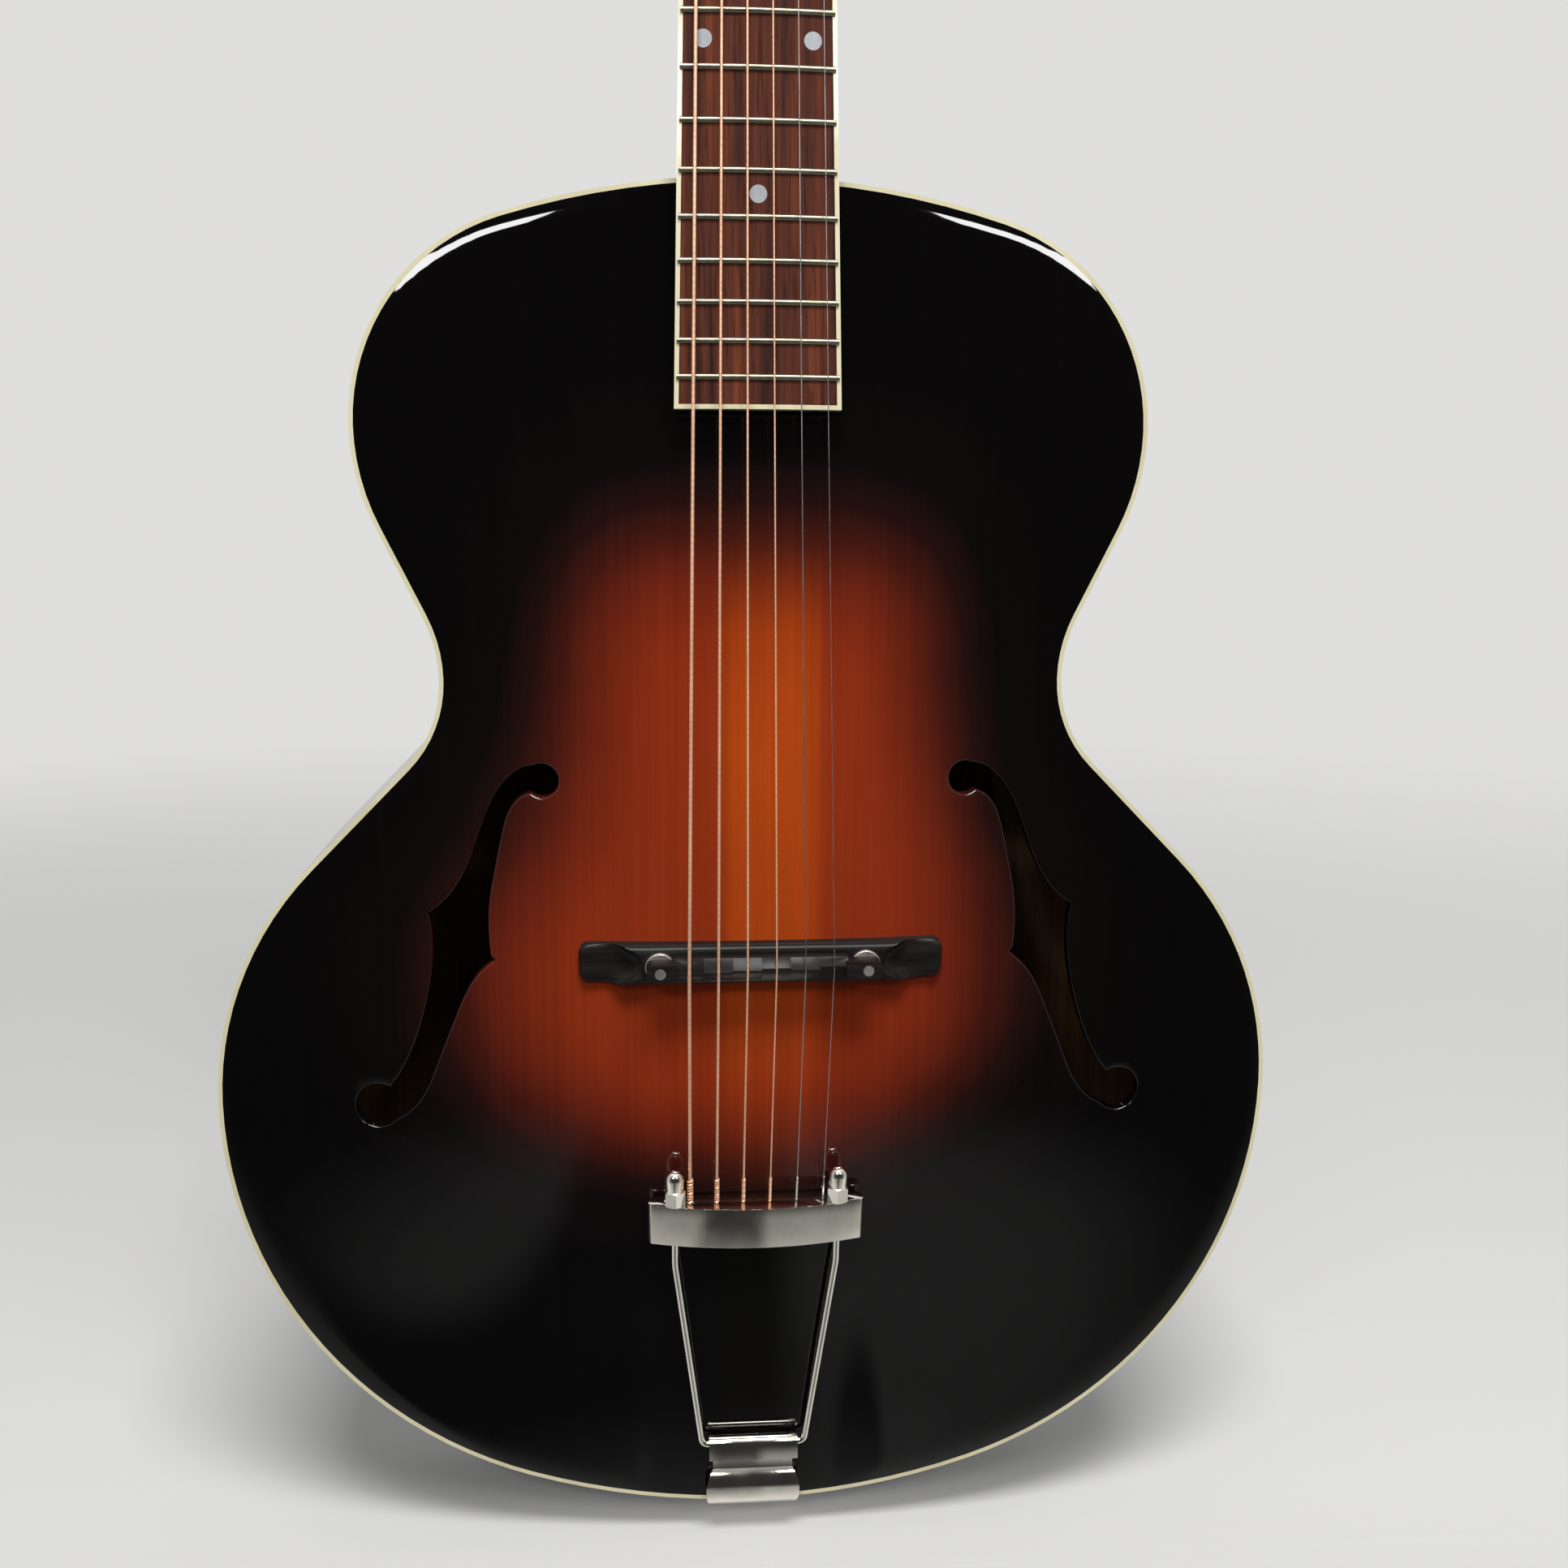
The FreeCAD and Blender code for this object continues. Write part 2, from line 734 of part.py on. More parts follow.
def heel_depth(distance):
    # The shaft's own depth, which swells over the heel's length and levels off at the body.
    foot_share = d.heel_foot_width / board_width(neck_length)
    full = (rim_back - under_board(-join)) / math.sqrt(1 - foot_share ** 2)
    share = min(max(1 - (neck_length - distance) / d.heel_length, 0), 1)
    shaft = shaft_depth(distance)
    return shaft + (full - shaft) * share ** 3 * (4 - 3 * share)


def heel_form():
    start = neck_length - d.heel_length
    stations = [start - d.heel_run_in, start - d.heel_run_in / 2]
    stations += [start + d.heel_length * step / HEEL_STEPS for step in range(HEEL_STEPS + 1)]
    stations.append(neck_length + d.dovetail_length / 2)
    sections = [shaft_section(distance, heel_depth(distance)) for distance in stations]
    return moved(Part.makeLoft(sections, True), neck_frame)


def tongue_shape():
    # The strip of neck that carries the fretboard over the body, clear of the top.
    end = -board_length * math.cos(neck_tilt) + d.board_binding
    near = -join + OVERLAP
    inset = d.board_binding
    near_half = board_width(join) / 2 - inset
    far_half = board_width(board_length) / 2 - inset
    near_low = rim_front - d.tongue_gap
    far_low = top_face_y(0, end) - d.tongue_gap
    outline = [
        Vector(-FAR, under_board(near), near),
        Vector(-FAR, near_low, near),
        Vector(-FAR, near_low, -join - d.arch_margin),
        Vector(-FAR, far_low, end),
        Vector(-FAR, under_board(end), end),
    ]
    side_view = prism(outline, Vector(2 * FAR, 0, 0))
    front = [
        Vector(-near_half, -FAR, near),
        Vector(near_half, -FAR, near),
        Vector(far_half, -FAR, end),
        Vector(-far_half, -FAR, end),
    ]
    return side_view.common(prism(front, Vector(0, 2 * FAR, 0)))


FLARE_SHARES = ((0.18, 0.45), (0.82, 0.82))


def headstock_face(y):
    waist = d.headstock_waist / 2
    wide = d.headstock_width / 2
    crown = d.headstock_crown_width / 2
    length = d.headstock_length
    shoulder_z = d.headstock_shoulder
    corner_z = length - d.headstock_corner_drop
    flare = [Vector(waist, y, 0)]
    for across, along in FLARE_SHARES:
        flare.append(Vector(waist + across * (wide - waist), y, along * shoulder_z))
    flare.append(Vector(wide, y, shoulder_z))
    flank = line_edge(flare[-1], Vector(crown, y, corner_z))
    half = [curve_edge(flare), flank]
    top = Part.Arc(Vector(crown, y, corner_z), Vector(0, y, length), Vector(-crown, y, corner_z)).toShape()
    base = line_edge(Vector(-waist, y, 0), Vector(waist, y, 0))
    return Part.Face(Part.Wire(Part.__sortEdges__(half + [mirrored(edge) for edge in half] + [top, base])))


def post_spots():
    # Tuner post places in the headstock's frame, bass side first, from the nut outwards.
    for side in LEFT_RIGHT:
        for index in range(3):
            yield side, side * d.tuner_post_offset, d.tuner_first + index * d.tuner_pitch


def post_place(string):
    # The outer strings go to the posts nearest the nut, the inner strings to the furthest.
    half = len(STRING_NAMES) // 2
    return string.index if string.index < half else 3 * half - 1 - string.index


def plate_screw_spots(side):
    # One near each end of the plate and one between each two posts, along the plate's inner edge.
    inset = d.plate_screw_head / 2 + d.plate_screw_edge
    x = side * (d.tuner_post_offset - d.tuner_plate_width / 2 + inset)
    last = d.tuner_first + 2 * d.tuner_pitch
    yield x, d.tuner_first - d.tuner_plate_overhang + inset
    yield x, d.tuner_first + d.tuner_pitch / 2
    yield x, last - d.tuner_pitch / 2
    yield x, last + d.tuner_plate_overhang - inset


def cover_screw_spots():
    x = d.cover_width / 2 - d.cover_screw_inset
    z_low = d.cover_start + d.cover_screw_inset
    z_high = d.cover_start + d.cover_length - d.cover_screw_inset
    return [(-x, z_low), (x, z_low), (0.0, z_high)]


def make_neck():
    shaft_end = neck_length - d.heel_length - d.heel_run_in
    sections = [shaft_section(distance, shaft_depth(distance)) for distance in (-d.nut_length, 0.0, shaft_end)]
    shaft = moved(Part.makeLoft(sections, True, True), neck_frame)
    plank = headstock_face(d.veneer_thickness).extrude(Vector(0, d.headstock_thickness, 0))
    plank = moved(plank, headstock_frame)
    body_space = outline_prism(0, rim_front - d.tongue_gap / 2, rim_back + d.plate_thickness)
    heel_whole = heel_form()
    heel_back = rim_back - d.heel_cap_thickness
    heel = heel_whole.common(box(-FAR, FAR, -FAR, heel_back, -FAR, FAR)).cut(body_space)
    tenon_front = rim_front - d.tongue_gap - OVERLAP
    tenon = dovetail(0, tenon_front, rim_front + d.dovetail_depth)
    tenon = tenon.common(box(-FAR, FAR, -FAR, FAR, -FAR, -join + 2 * OVERLAP))
    neck = fused([shaft, plank, heel, tongue_shape(), tenon])

    rod_half = d.truss_rod_diameter / 2 + d.joint_clearance
    channel_low = d.board_thickness - OVERLAP
    channel = box(-rod_half, rod_half, channel_low, d.truss_rod_depth, -truss_rod_length, d.truss_rod_reach)
    bore = rod(
        rod_half,
        Vector(0, d.truss_rod_depth, -truss_rod_length - d.joint_clearance),
        Vector(0, d.truss_rod_depth, d.truss_rod_reach),
    )
    pocket = box(-pocket_half, pocket_half, 0, d.truss_rod_depth + pocket_half, pocket_start, pocket_end)
    tools = [moved(tool, neck_frame) for tool in (channel, bore, pocket)]
    for _, x, z in post_spots():
        radius = d.bushing_diameter / 2 + d.joint_clearance
        hole = rod(radius, Vector(x, -OVERLAP, z), Vector(x, headstock_back + OVERLAP, z))
        tools.append(moved(hole, headstock_frame))
    tools += [moved(hole, headstock_frame) for hole in small_screw_holes()]
    feature("neck", cut_all(neck, tools))

    cap = heel_whole.common(box(-FAR, FAR, heel_back, rim_back, -FAR, FAR))
    feature("heel_cap", cap.cut(outline_prism(0, rim_front, rim_back + d.plate_thickness)))


pocket_start = d.nut_length + d.headstock_step + d.truss_pocket_start
pocket_end = d.truss_rod_reach + d.truss_pocket_end
pocket_half = d.truss_nut_across / 2 + d.truss_pocket_margin


def small_screw_holes():
    holes = []
    radius = d.plate_screw_diameter / 2 + d.joint_clearance
    for side in LEFT_RIGHT:
        for x, z in plate_screw_spots(side):
            start = Vector(x, headstock_back - d.plate_screw_length - d.joint_clearance, z)
            holes.append(rod(radius, start, Vector(x, headstock_back + FAR / 100, z)))
    radius = d.cover_screw_diameter / 2 + d.joint_clearance
    for x, z in cover_screw_spots():
        holes.append(rod(radius, Vector(x, -FAR / 100, z), Vector(x, d.plate_screw_length, z)))
    return holes


# Truss rod, its nut and the cover on the headstock

def make_truss_rod():
    start = Vector(0, d.truss_rod_depth, -truss_rod_length)
    end = Vector(0, d.truss_rod_depth, d.truss_rod_reach)
    bar = doc.addObject("Part::Cylinder", "truss_rod")
    bar.setExpression("Radius", "Sizes.truss_rod_diameter / 2")
    bar.Height = truss_rod_length + d.truss_rod_reach
    bar.Placement = neck_frame.multiply(Placement(start, Rotation()))
    publish(bar, "truss_rod")

    hexagon = doc.addObject("Part::Prism", "truss_nut_blank")
    hexagon.Polygon = 6
    hexagon.setExpression("Circumradius", "Sizes.truss_nut_across / 2 / cos(30)")
    hexagon.setExpression("Height", "Sizes.truss_nut_length")
    bore = doc.addObject("Part::Cylinder", "truss_nut_bore")
    bore.setExpression("Radius", "Sizes.truss_rod_diameter / 2 + Sizes.running_clearance")
    bore.setExpression("Height", "Sizes.truss_nut_length")
    nut = doc.addObject("Part::Cut", "truss_rod_nut")
    nut.Base = hexagon
    nut.Tool = bore
    seat = Vector(0, end.y, pocket_start + d.joint_clearance)
    nut.Placement = neck_frame.multiply(Placement(seat, Rotation()))
    publish(nut, "truss_rod_nut")

    cover = padded_body(
        "cover_blank",
        [
            ("-Sizes.cover_width / 2", "0"),
            ("Sizes.cover_width / 2", "0"),
            ("Sizes.cover_width / 2", "Sizes.cover_shoulder"),
            ("Sizes.cover_tip_width / 2", "Sizes.cover_length"),
            ("-Sizes.cover_tip_width / 2", "Sizes.cover_length"),
            ("-Sizes.cover_width / 2", "Sizes.cover_shoulder"),
        ],
        "Sizes.cover_thickness",
    )
    lift = Placement(Vector(0, 0, d.cover_start), Rotation(X_AXIS, 90))
    cover.Placement = headstock_frame.multiply(lift)
    doc.recompute()
    holes = [moved(hole, headstock_frame) for hole in small_screw_holes()]
    drilled = doc.addObject("Part::Feature", "truss_cover_drilled")
    drilled.Shape = Part.makeCompound(holes)
    finished = doc.addObject("Part::Cut", "truss_cover_finished")
    finished.Base = cover
    finished.Tool = drilled
    publish(finished, "truss_rod_cover")

    screw = turned_body("cover_screw", [
        ("0", "0"),
        ("Sizes.cover_screw_diameter / 2", "0"),
        ("Sizes.cover_screw_diameter / 2", "Sizes.plate_screw_length"),
        ("Sizes.cover_screw_diameter", "Sizes.plate_screw_length"),
        ("Sizes.cover_screw_diameter * 0.6", "Sizes.plate_screw_length + Sizes.cover_screw_diameter / 2"),
        ("0", "Sizes.plate_screw_length + Sizes.cover_screw_diameter / 2"),
    ])
    copies = []
    for x, z in cover_screw_spots():
        spot = Placement(Vector(x, d.plate_screw_length - d.cover_thickness, z), Rotation(X_AXIS, 90))
        copies.append(moved(screw.Shape, headstock_frame.multiply(spot)))
    feature("truss_cover_screws", Part.makeCompound(copies))


# Fretboard with its binding, frets, dots and the nut

def board_blank(inset, end_inset):
    near = board_width(0) / 2 - inset
    end = board_length - end_inset
    far = board_width(end) / 2 - inset
    corners = [
        Vector(-near, -OVERLAP, 0),
        Vector(near, -OVERLAP, 0),
        Vector(far, -OVERLAP, -end),
        Vector(-far, -OVERLAP, -end),
    ]
    return prism(corners, Vector(0, d.board_thickness + OVERLAP, 0))


def board_dome():
    return rod(d.board_radius, Vector(0, d.board_radius, -FAR), Vector(0, d.board_radius, FAR))


DOT_FRETS = (3, 5, 7, 9, 12, 15)
DOUBLE_DOT_FRET = 12


def dot_spots():
    for fret in DOT_FRETS:
        z = -(fret_distance(fret) + fret_distance(fret - 1)) / 2
        if fret == DOUBLE_DOT_FRET:
            yield d.double_dot_spacing / 2, z
            yield -d.double_dot_spacing / 2, z
        else:
            yield 0.0, z


def dot_tools(spare):
    dots = []
    radius = d.dot_diameter / 2 + spare
    for x, z in dot_spots():
        dots.append(rod(radius, Vector(x, -OVERLAP, z), Vector(x, d.dot_thickness + spare, z)))
    return dots


def side_dot_tools(spare):
    dots = []
    radius = d.side_dot_diameter / 2 + spare
    for x, z in dot_spots():
        if x > 0:
            continue
        edge = -board_width(-z) / 2
        y = d.board_thickness / 2
        dots.append(rod(radius, Vector(edge + d.side_dot_depth + spare, y, z), Vector(edge - OVERLAP, y, z)))
    return dots


def revolved_strip(corners, half_width_wanted, crown=None):
    edges = [line_edge(a, b) for a, b in zip(corners, corners[1:])]
    if crown:
        edges.append(Part.Arc(corners[-1], crown, corners[0]).toShape())
    else:
        edges.append(line_edge(corners[-1], corners[0]))
    profile = Part.Face(Part.Wire(edges))
    centre = Vector(0, d.board_radius, 0)
    half_angle = math.degrees(math.asin(half_width_wanted / d.board_radius))
    profile.rotate(centre, Z_AXIS, -half_angle)
    return profile.revolve(centre, Z_AXIS, 2 * half_angle)


def fret_shape(fret):
    z = -fret_distance(fret)
    width = board_width(-z)
    half = d.fret_width / 2
    tang = d.tang_width / 2
    base = [Vector(0, 0, z - half), Vector(0, 0, z + half)]
    crown = revolved_strip(base, width / 2 - d.fret_end_gap, Vector(0, -d.fret_height, z))
    blade = [
        Vector(0, -d.fret_height / 2, z - tang),
        Vector(0, d.tang_depth, z - tang),
        Vector(0, d.tang_depth, z + tang),
        Vector(0, -d.fret_height / 2, z + tang),
    ]
    inner = width / 2 - d.board_binding - d.fret_end_gap
    return crown.fuse(revolved_strip(blade, inner)).removeSplitter()


def fret_slot(fret):
    z = -fret_distance(fret)
    half = board_width(-z) / 2 - d.board_binding - d.fret_end_gap / 2
    tang = d.tang_width / 2 + d.joint_clearance
    sag = half ** 2 / (2 * d.board_radius)
    return box(-half, half, -OVERLAP, d.tang_depth + sag + d.joint_clearance, z - tang, z + tang)


def make_fretboard():
    dome = board_dome()
    frets = range(1, int(d.fret_count) + 1)
    core = board_blank(d.board_binding, d.board_binding)
    slots = [fret_slot(fret) for fret in frets]
    feature("fretboard", cut_all(core.common(dome), slots + dot_tools(d.joint_clearance)), neck_frame)
    strip = board_blank(0, 0).cut(core).common(dome)
    feature("fretboard_binding", cut_all(strip, side_dot_tools(d.joint_clearance)), neck_frame)
    feature("frets", Part.makeCompound([fret_shape(fret) for fret in frets]), neck_frame)
    inlays = Part.makeCompound(dot_tools(0)).common(dome).Solids
    board_side = board_blank(0, 0)
    inlays += [dot.common(board_side) for dot in side_dot_tools(0)]
    solids = [solid for inlay in inlays for solid in inlay.Solids]
    feature("position_dots", Part.makeCompound(solids), neck_frame)


def nut_height_at(x):
    return x ** 2 / (2 * d.board_radius)


def make_nut():
    half = d.nut_width / 2
    blank = box(-half, half, -d.nut_height, d.board_thickness, 0, d.nut_length)
    crest = d.board_radius + d.nut_height
    dome = rod(crest, Vector(0, d.board_radius, -OVERLAP), Vector(0, d.board_radius, d.nut_length + OVERLAP))
    slots = []
    for string in strings:
        x = string.nut_x
        low = nut_height_at(x) - d.nut_slot_height
        radius = string.radius + d.string_seat_gap
        slots.append(box(x - radius, x + radius, -FAR / 100, low, -OVERLAP, d.nut_length + OVERLAP))
    feature("nut", cut_all(blank.common(dome), slots), neck_frame)


def make_headstock_veneer():
    sheet_shape = headstock_face(0).extrude(Vector(0, d.veneer_thickness, 0))
    holes = small_screw_holes()
    for _, x, z in post_spots():
        radius = d.bushing_diameter / 2 + d.joint_clearance
        holes.append(rod(radius, Vector(x, -OVERLAP, z), Vector(x, d.veneer_thickness + OVERLAP, z)))
    low = pocket_start - headstock_base.z
    high = pocket_end - headstock_base.z
    holes.append(box(-pocket_half, pocket_half, -OVERLAP, d.veneer_thickness + OVERLAP, low, high))
    feature("headstock_veneer", cut_all(sheet_shape, holes), headstock_frame)


# Places of the strings, the saddle and the tailpiece

strings = []
for index, name in enumerate(STRING_NAMES):
    share = index / (len(STRING_NAMES) - 1) - 0.5
    string = SimpleNamespace(name=name, index=index)
    string.radius = getattr(d, f"string_{name}_diameter") / 2
    string.nut_x = share * d.nut_spread
    string.saddle_x = share * d.saddle_spread + d.string_offset
    string.tail_x = share * d.tail_spread
    string.compensation = getattr(d, f"string_{name}_compensation")
    strings.append(string)

for string in strings:
    nut_y = nut_height_at(string.nut_x) - d.nut_slot_height - string.radius
    string.nut_front = neck_frame.multVec(Vector(string.nut_x, nut_y, 0))
    lift = d.string_height + string.radius
    sag = (string.saddle_x - d.string_offset) ** 2 / (2 * d.board_radius)
    z = -d.scale_length - string.compensation
    string.saddle = neck_frame.multVec(Vector(string.saddle_x, sag - lift, z))

saddle_middle_y = min(string.saddle.y for string in strings)
pin = Vector(0, rim_front - d.pin_height, tail_end + d.pin_inset)
saddle_reach = math.hypot(saddle_middle_y - pin.y, bridge_line - pin.z)
trapeze_lean = math.degrees(math.atan2(pin.y - saddle_middle_y, bridge_line - pin.z))
trapeze_frame = Placement(pin, Rotation(X_AXIS, trapeze_lean))
bar_reach = d.bar_reach_share * saddle_reach
bar_top = bar_reach + d.bar_height


# Cord-like shapes: straight runs joined by tangent arcs

def rounded_edges(points, radii):
    edges = []
    start = points[0]
    for before, corner, after, radius in zip(points, points[1:], points[2:], radii):
        incoming = (corner - before).normalize()
        outgoing = (after - corner).normalize()
        turn = incoming.getAngle(outgoing)
        reach = radius * math.tan(turn / 2)
        entry = corner - incoming * reach
        leave = corner + outgoing * reach
        inward = (outgoing - incoming).normalize()
        middle = corner + inward * (radius / math.cos(turn / 2) - radius)
        edges.append(line_edge(start, entry))
        edges.append(Part.Arc(entry, middle, leave).toShape())
        start = leave
    edges.append(line_edge(start, points[-1]))
    return edges


def arc_from(start, direction, end):
    chord = end - start
    unit = Vector(chord).normalize()
    aside = direction - unit * direction.dot(unit)
    if aside.Length < 1e-9:
        return line_edge(start, end)
    turn = direction.getAngle(unit)
    middle = (start + end) * 0.5 + aside.normalize() * (chord.Length / 2 * math.tan(turn / 2))
    return Part.Arc(start, middle, end).toShape()


def biarc(start, start_way, end, end_way):
    chord = end - start
    ways = start_way + end_way
    a = 2 * (1 - start_way.dot(end_way))
    b = 2 * chord.dot(ways)
    c = -chord.dot(chord)
    reach = (-b + math.sqrt(b * b - 4 * a * c)) / (2 * a)
    joint = (start + start_way * reach + end - end_way * reach) * 0.5
    first = arc_from(start, start_way, joint)
    second = arc_from(end, end_way * -1, joint)
    return [first, second]


def tube(edges, radius, start, direction):
    ring = Part.Wire(Part.makeCircle(radius, start, direction))
    return Part.Wire(edges).makePipeShell([ring], True, False)


QUARTER_STEPS = 6


def winding(string, nut_back):
    # Turns of string on its tuner post, in the headstock's frame, from the nut's back edge.
    side, x, z = list(post_spots())[post_place(string)]
    radius = d.tuner_post_diameter / 2 + d.winding_clearance + string.radius
    pitch = 2 * string.radius + d.winding_gap
    flat = math.hypot(x - nut_back.x, z - nut_back.z)
    heading = math.atan2(z - nut_back.z, x - nut_back.x) + side * math.asin(radius / flat)
    start_angle = heading + side * math.pi / 2
    height = d.string_wind_height

    def spot(turn):
        angle = start_angle - side * turn
        y = -height + pitch * turn / (2 * math.pi)
        return Vector(x + radius * math.cos(angle), y, z + radius * math.sin(angle))

    def way(turn):
        angle = start_angle - side * turn
        slope = pitch / (2 * math.pi)
        tangent = Vector(side * radius * math.sin(angle), slope, -side * radius * math.cos(angle))
        return tangent.normalize()

    edges = []
    steps = int(round(d.winding_turns * 4))
    quarter = math.pi / 2
    for step in range(steps):
        one = step * quarter
        two = one + quarter
        edges += biarc(spot(one), way(one), spot(two), way(two))
    lead = spot(0) - way(0) * (2 * radius)
    points = [spot(step * quarter / QUARTER_STEPS) for step in range(steps * QUARTER_STEPS + 1)]
    gaps = []
    for first, point in enumerate(points):
        for other in points[first + 3 * QUARTER_STEPS:]:
            gaps.append((point - other).Length - 2 * string.radius)
    return lead, edges, min(gaps)


def make_strings():
    to_headstock = headstock_frame.inverse()
    for string in strings:
        ball = Vector(string.tail_x, 0, bar_top - d.bar_wall - d.ball_diameter / 2 - d.string_hole_clearance)
        start = trapeze_frame.multVec(ball)
        nut_back = neck_frame.multVec(neck_frame.inverse().multVec(string.nut_front) + Z_AXIS * d.nut_length)
        lead, turns, gap = winding(string, to_headstock.multVec(nut_back))
        points = [start, string.saddle, nut_back, headstock_frame.multVec(lead)]
        first_turn = turns[0].valueAt(turns[0].FirstParameter)
        points.append(headstock_frame.multVec(first_turn))
        bend = d.string_bend_radius
        edges = rounded_edges(points, [bend, bend, bend])
        edges += [moved(edge, headstock_frame) for edge in turns]
        route = tube(edges, string.radius, start, points[1] - points[0])
        half = Vector(d.ball_length / 2, 0, 0)
        bead = rod(d.ball_diameter / 2, start - half, start + half)
        print("string", string.name, "least gap between turns", round(gap, 3), "mm")
        feature(f"string_{string.name}", route.fuse(bead))


# Bridge: a base fitted to the arch, two posts, two thumbwheels and a compensated saddle

bridge_top = rim_front - d.top_arch
deck_y = bridge_top - d.bridge_base_height
wheel_y = deck_y - d.thumbwheel_lift
saddle_y = wheel_y - d.thumbwheel_thickness


def post_x(side):
    return d.bridge_offset + side * d.post_spacing / 2


def facing_front(x, y):
    # Local +Z points out of the top, towards -Y.
    return Placement(Vector(x, y, bridge_line), Rotation(X_AXIS, 90))


WING_SHARES = ((0.175, 0.78), (0.56, 1.03))


def make_bridge_base():
    half = d.bridge_base_length / 2
    deck = d.bridge_deck_length / 2
    width = d.bridge_base_width
    wing_y = top_face_y(half, bridge_line) - d.bridge_wing_height
    wing = [Vector(deck, deck_y, 0)]
    for across, deep in WING_SHARES:
        wing.append(Vector(deck + across * (half - deck), deck_y + deep * (wing_y - deck_y), 0))
    wing.append(Vector(half, wing_y, 0))
    right = [curve_edge(wing), line_edge(wing[-1], Vector(half, rim_front, 0))]
    edges = right + [mirrored(edge) for edge in right]
    edges.append(line_edge(Vector(-deck, deck_y, 0), Vector(deck, deck_y, 0)))
    edges.append(line_edge(Vector(-half, rim_front, 0), Vector(half, rim_front, 0)))
    slab = Part.Face(Part.Wire(Part.__sortEdges__(edges))).extrude(Vector(0, 0, width))
    slab.translate(Vector(0, 0, -width / 2))
    corner = d.bridge_corner_radius
    side_x = half - corner
    side_z = width / 2 - corner
    plan = [
        box(-side_x, side_x, -FAR / 10, 0, -width / 2, width / 2),
        box(-half, half, -FAR / 10, 0, -side_z, side_z),
    ]
    for x in (-side_x, side_x):
        for z in (-side_z, side_z):
            plan.append(rod(corner, Vector(x, -FAR / 10, z), Vector(x, 0, z)))
    base = slab.common(fused(plan))
    base.translate(Vector(d.bridge_offset, 0, bridge_line))
    below = top_outer.extrude(Vector(0, FAR / 10, 0))
    sockets = []
    for side in LEFT_RIGHT:
        low = Vector(post_x(side), deck_y + d.post_seat_depth, bridge_line)
        sockets.append(rod(d.post_diameter / 2 + d.joint_clearance, low, low - Y_AXIS * FAR / 20))
    feature("bridge_base", cut_all(base, [below] + sockets))


def make_bridge_hardware():
    post = doc.addObject("Part::Cylinder", "bridge_post")
    post.setExpression("Radius", "Sizes.post_diameter / 2")
    post.setExpression("Height", "Sizes.post_seat_depth + Sizes.post_stand")
    doc.recompute()
    seat = deck_y + d.post_seat_depth - d.joint_clearance
    copies = [moved(post.Shape, facing_front(post_x(side), seat)) for side in LEFT_RIGHT]
    feature("bridge_posts", Part.makeCompound(copies))

    for side, label in zip(LEFT_RIGHT, ("thumbwheel_bass", "thumbwheel_treble")):
        rim = "Sizes.thumbwheel_diameter / 2"
        bore = "Sizes.post_diameter / 2 + Sizes.running_clearance"
        chamfer = "Sizes.thumbwheel_chamfer"
        wheel = turned_body(label, [
            (bore, "0"),
            (f"{rim} - {chamfer}", "0"),
            (rim, chamfer),
            (rim, f"Sizes.thumbwheel_thickness - {chamfer}"),
            (f"{rim} - {chamfer}", "Sizes.thumbwheel_thickness"),
            (bore, "Sizes.thumbwheel_thickness"),
        ])
        wheel.Placement = facing_front(post_x(side), wheel_y)
        publish(wheel, label)


def make_saddle():
    low = saddle_y - d.running_clearance
    shoulder = min(string.saddle.y + string.radius for string in strings) + d.saddle_crown
    pitch = d.saddle_spread / (len(strings) - 1)
    bar_half = (d.saddle_spread + pitch) / 2
    z_low = bridge_line - d.saddle_back
    z_high = bridge_line + d.saddle_front
    shapes = [box(d.string_offset - bar_half, d.string_offset + bar_half, shoulder, low, z_low, z_high)]
    end_top = shoulder - d.saddle_end_rise
    end_half = d.saddle_end_width / 2
    for side in LEFT_RIGHT:
        inner = d.string_offset + side * (bar_half - OVERLAP)
        outer = post_x(side) + side * d.saddle_end_reach
        end = box(min(inner, outer), max(inner, outer), end_top, low, bridge_line - end_half, bridge_line + end_half)
        tips = [edge for edge in end.Edges if abs(edge.CenterOfMass.x - outer) < OVERLAP]
        upright = [edge for edge in tips if abs(edge.CenterOfMass.y - (end_top + low) / 2) < OVERLAP]
        shapes.append(end.makeFillet(d.saddle_end_corner, upright))
    for string in strings:
        crest = string.saddle.y + string.radius + d.string_seat_gap
        ridge = string.saddle.z
        left = string.saddle_x - pitch / 2
        corners = [
            Vector(left, shoulder, z_low),
            Vector(left, crest, ridge - d.saddle_ridge / 2),
            Vector(left, crest, ridge + d.saddle_ridge / 2),
            Vector(left, shoulder, z_high),
        ]
        shapes.append(prism(corners, Vector(pitch, 0, 0)))
    holes = []
    for side in LEFT_RIGHT:
        start = Vector(post_x(side), low + OVERLAP, bridge_line)
        radius = d.post_diameter / 2 + d.running_clearance
        holes.append(rod(radius, start, start - Y_AXIS * FAR / 20))
    feature("bridge_saddle", cut_all(fused(shapes), holes))


# Tailpiece: a curved bar on a wire trapeze, hinged in a bracket at the tail

BAR_BULGE_SHARE = 0.4


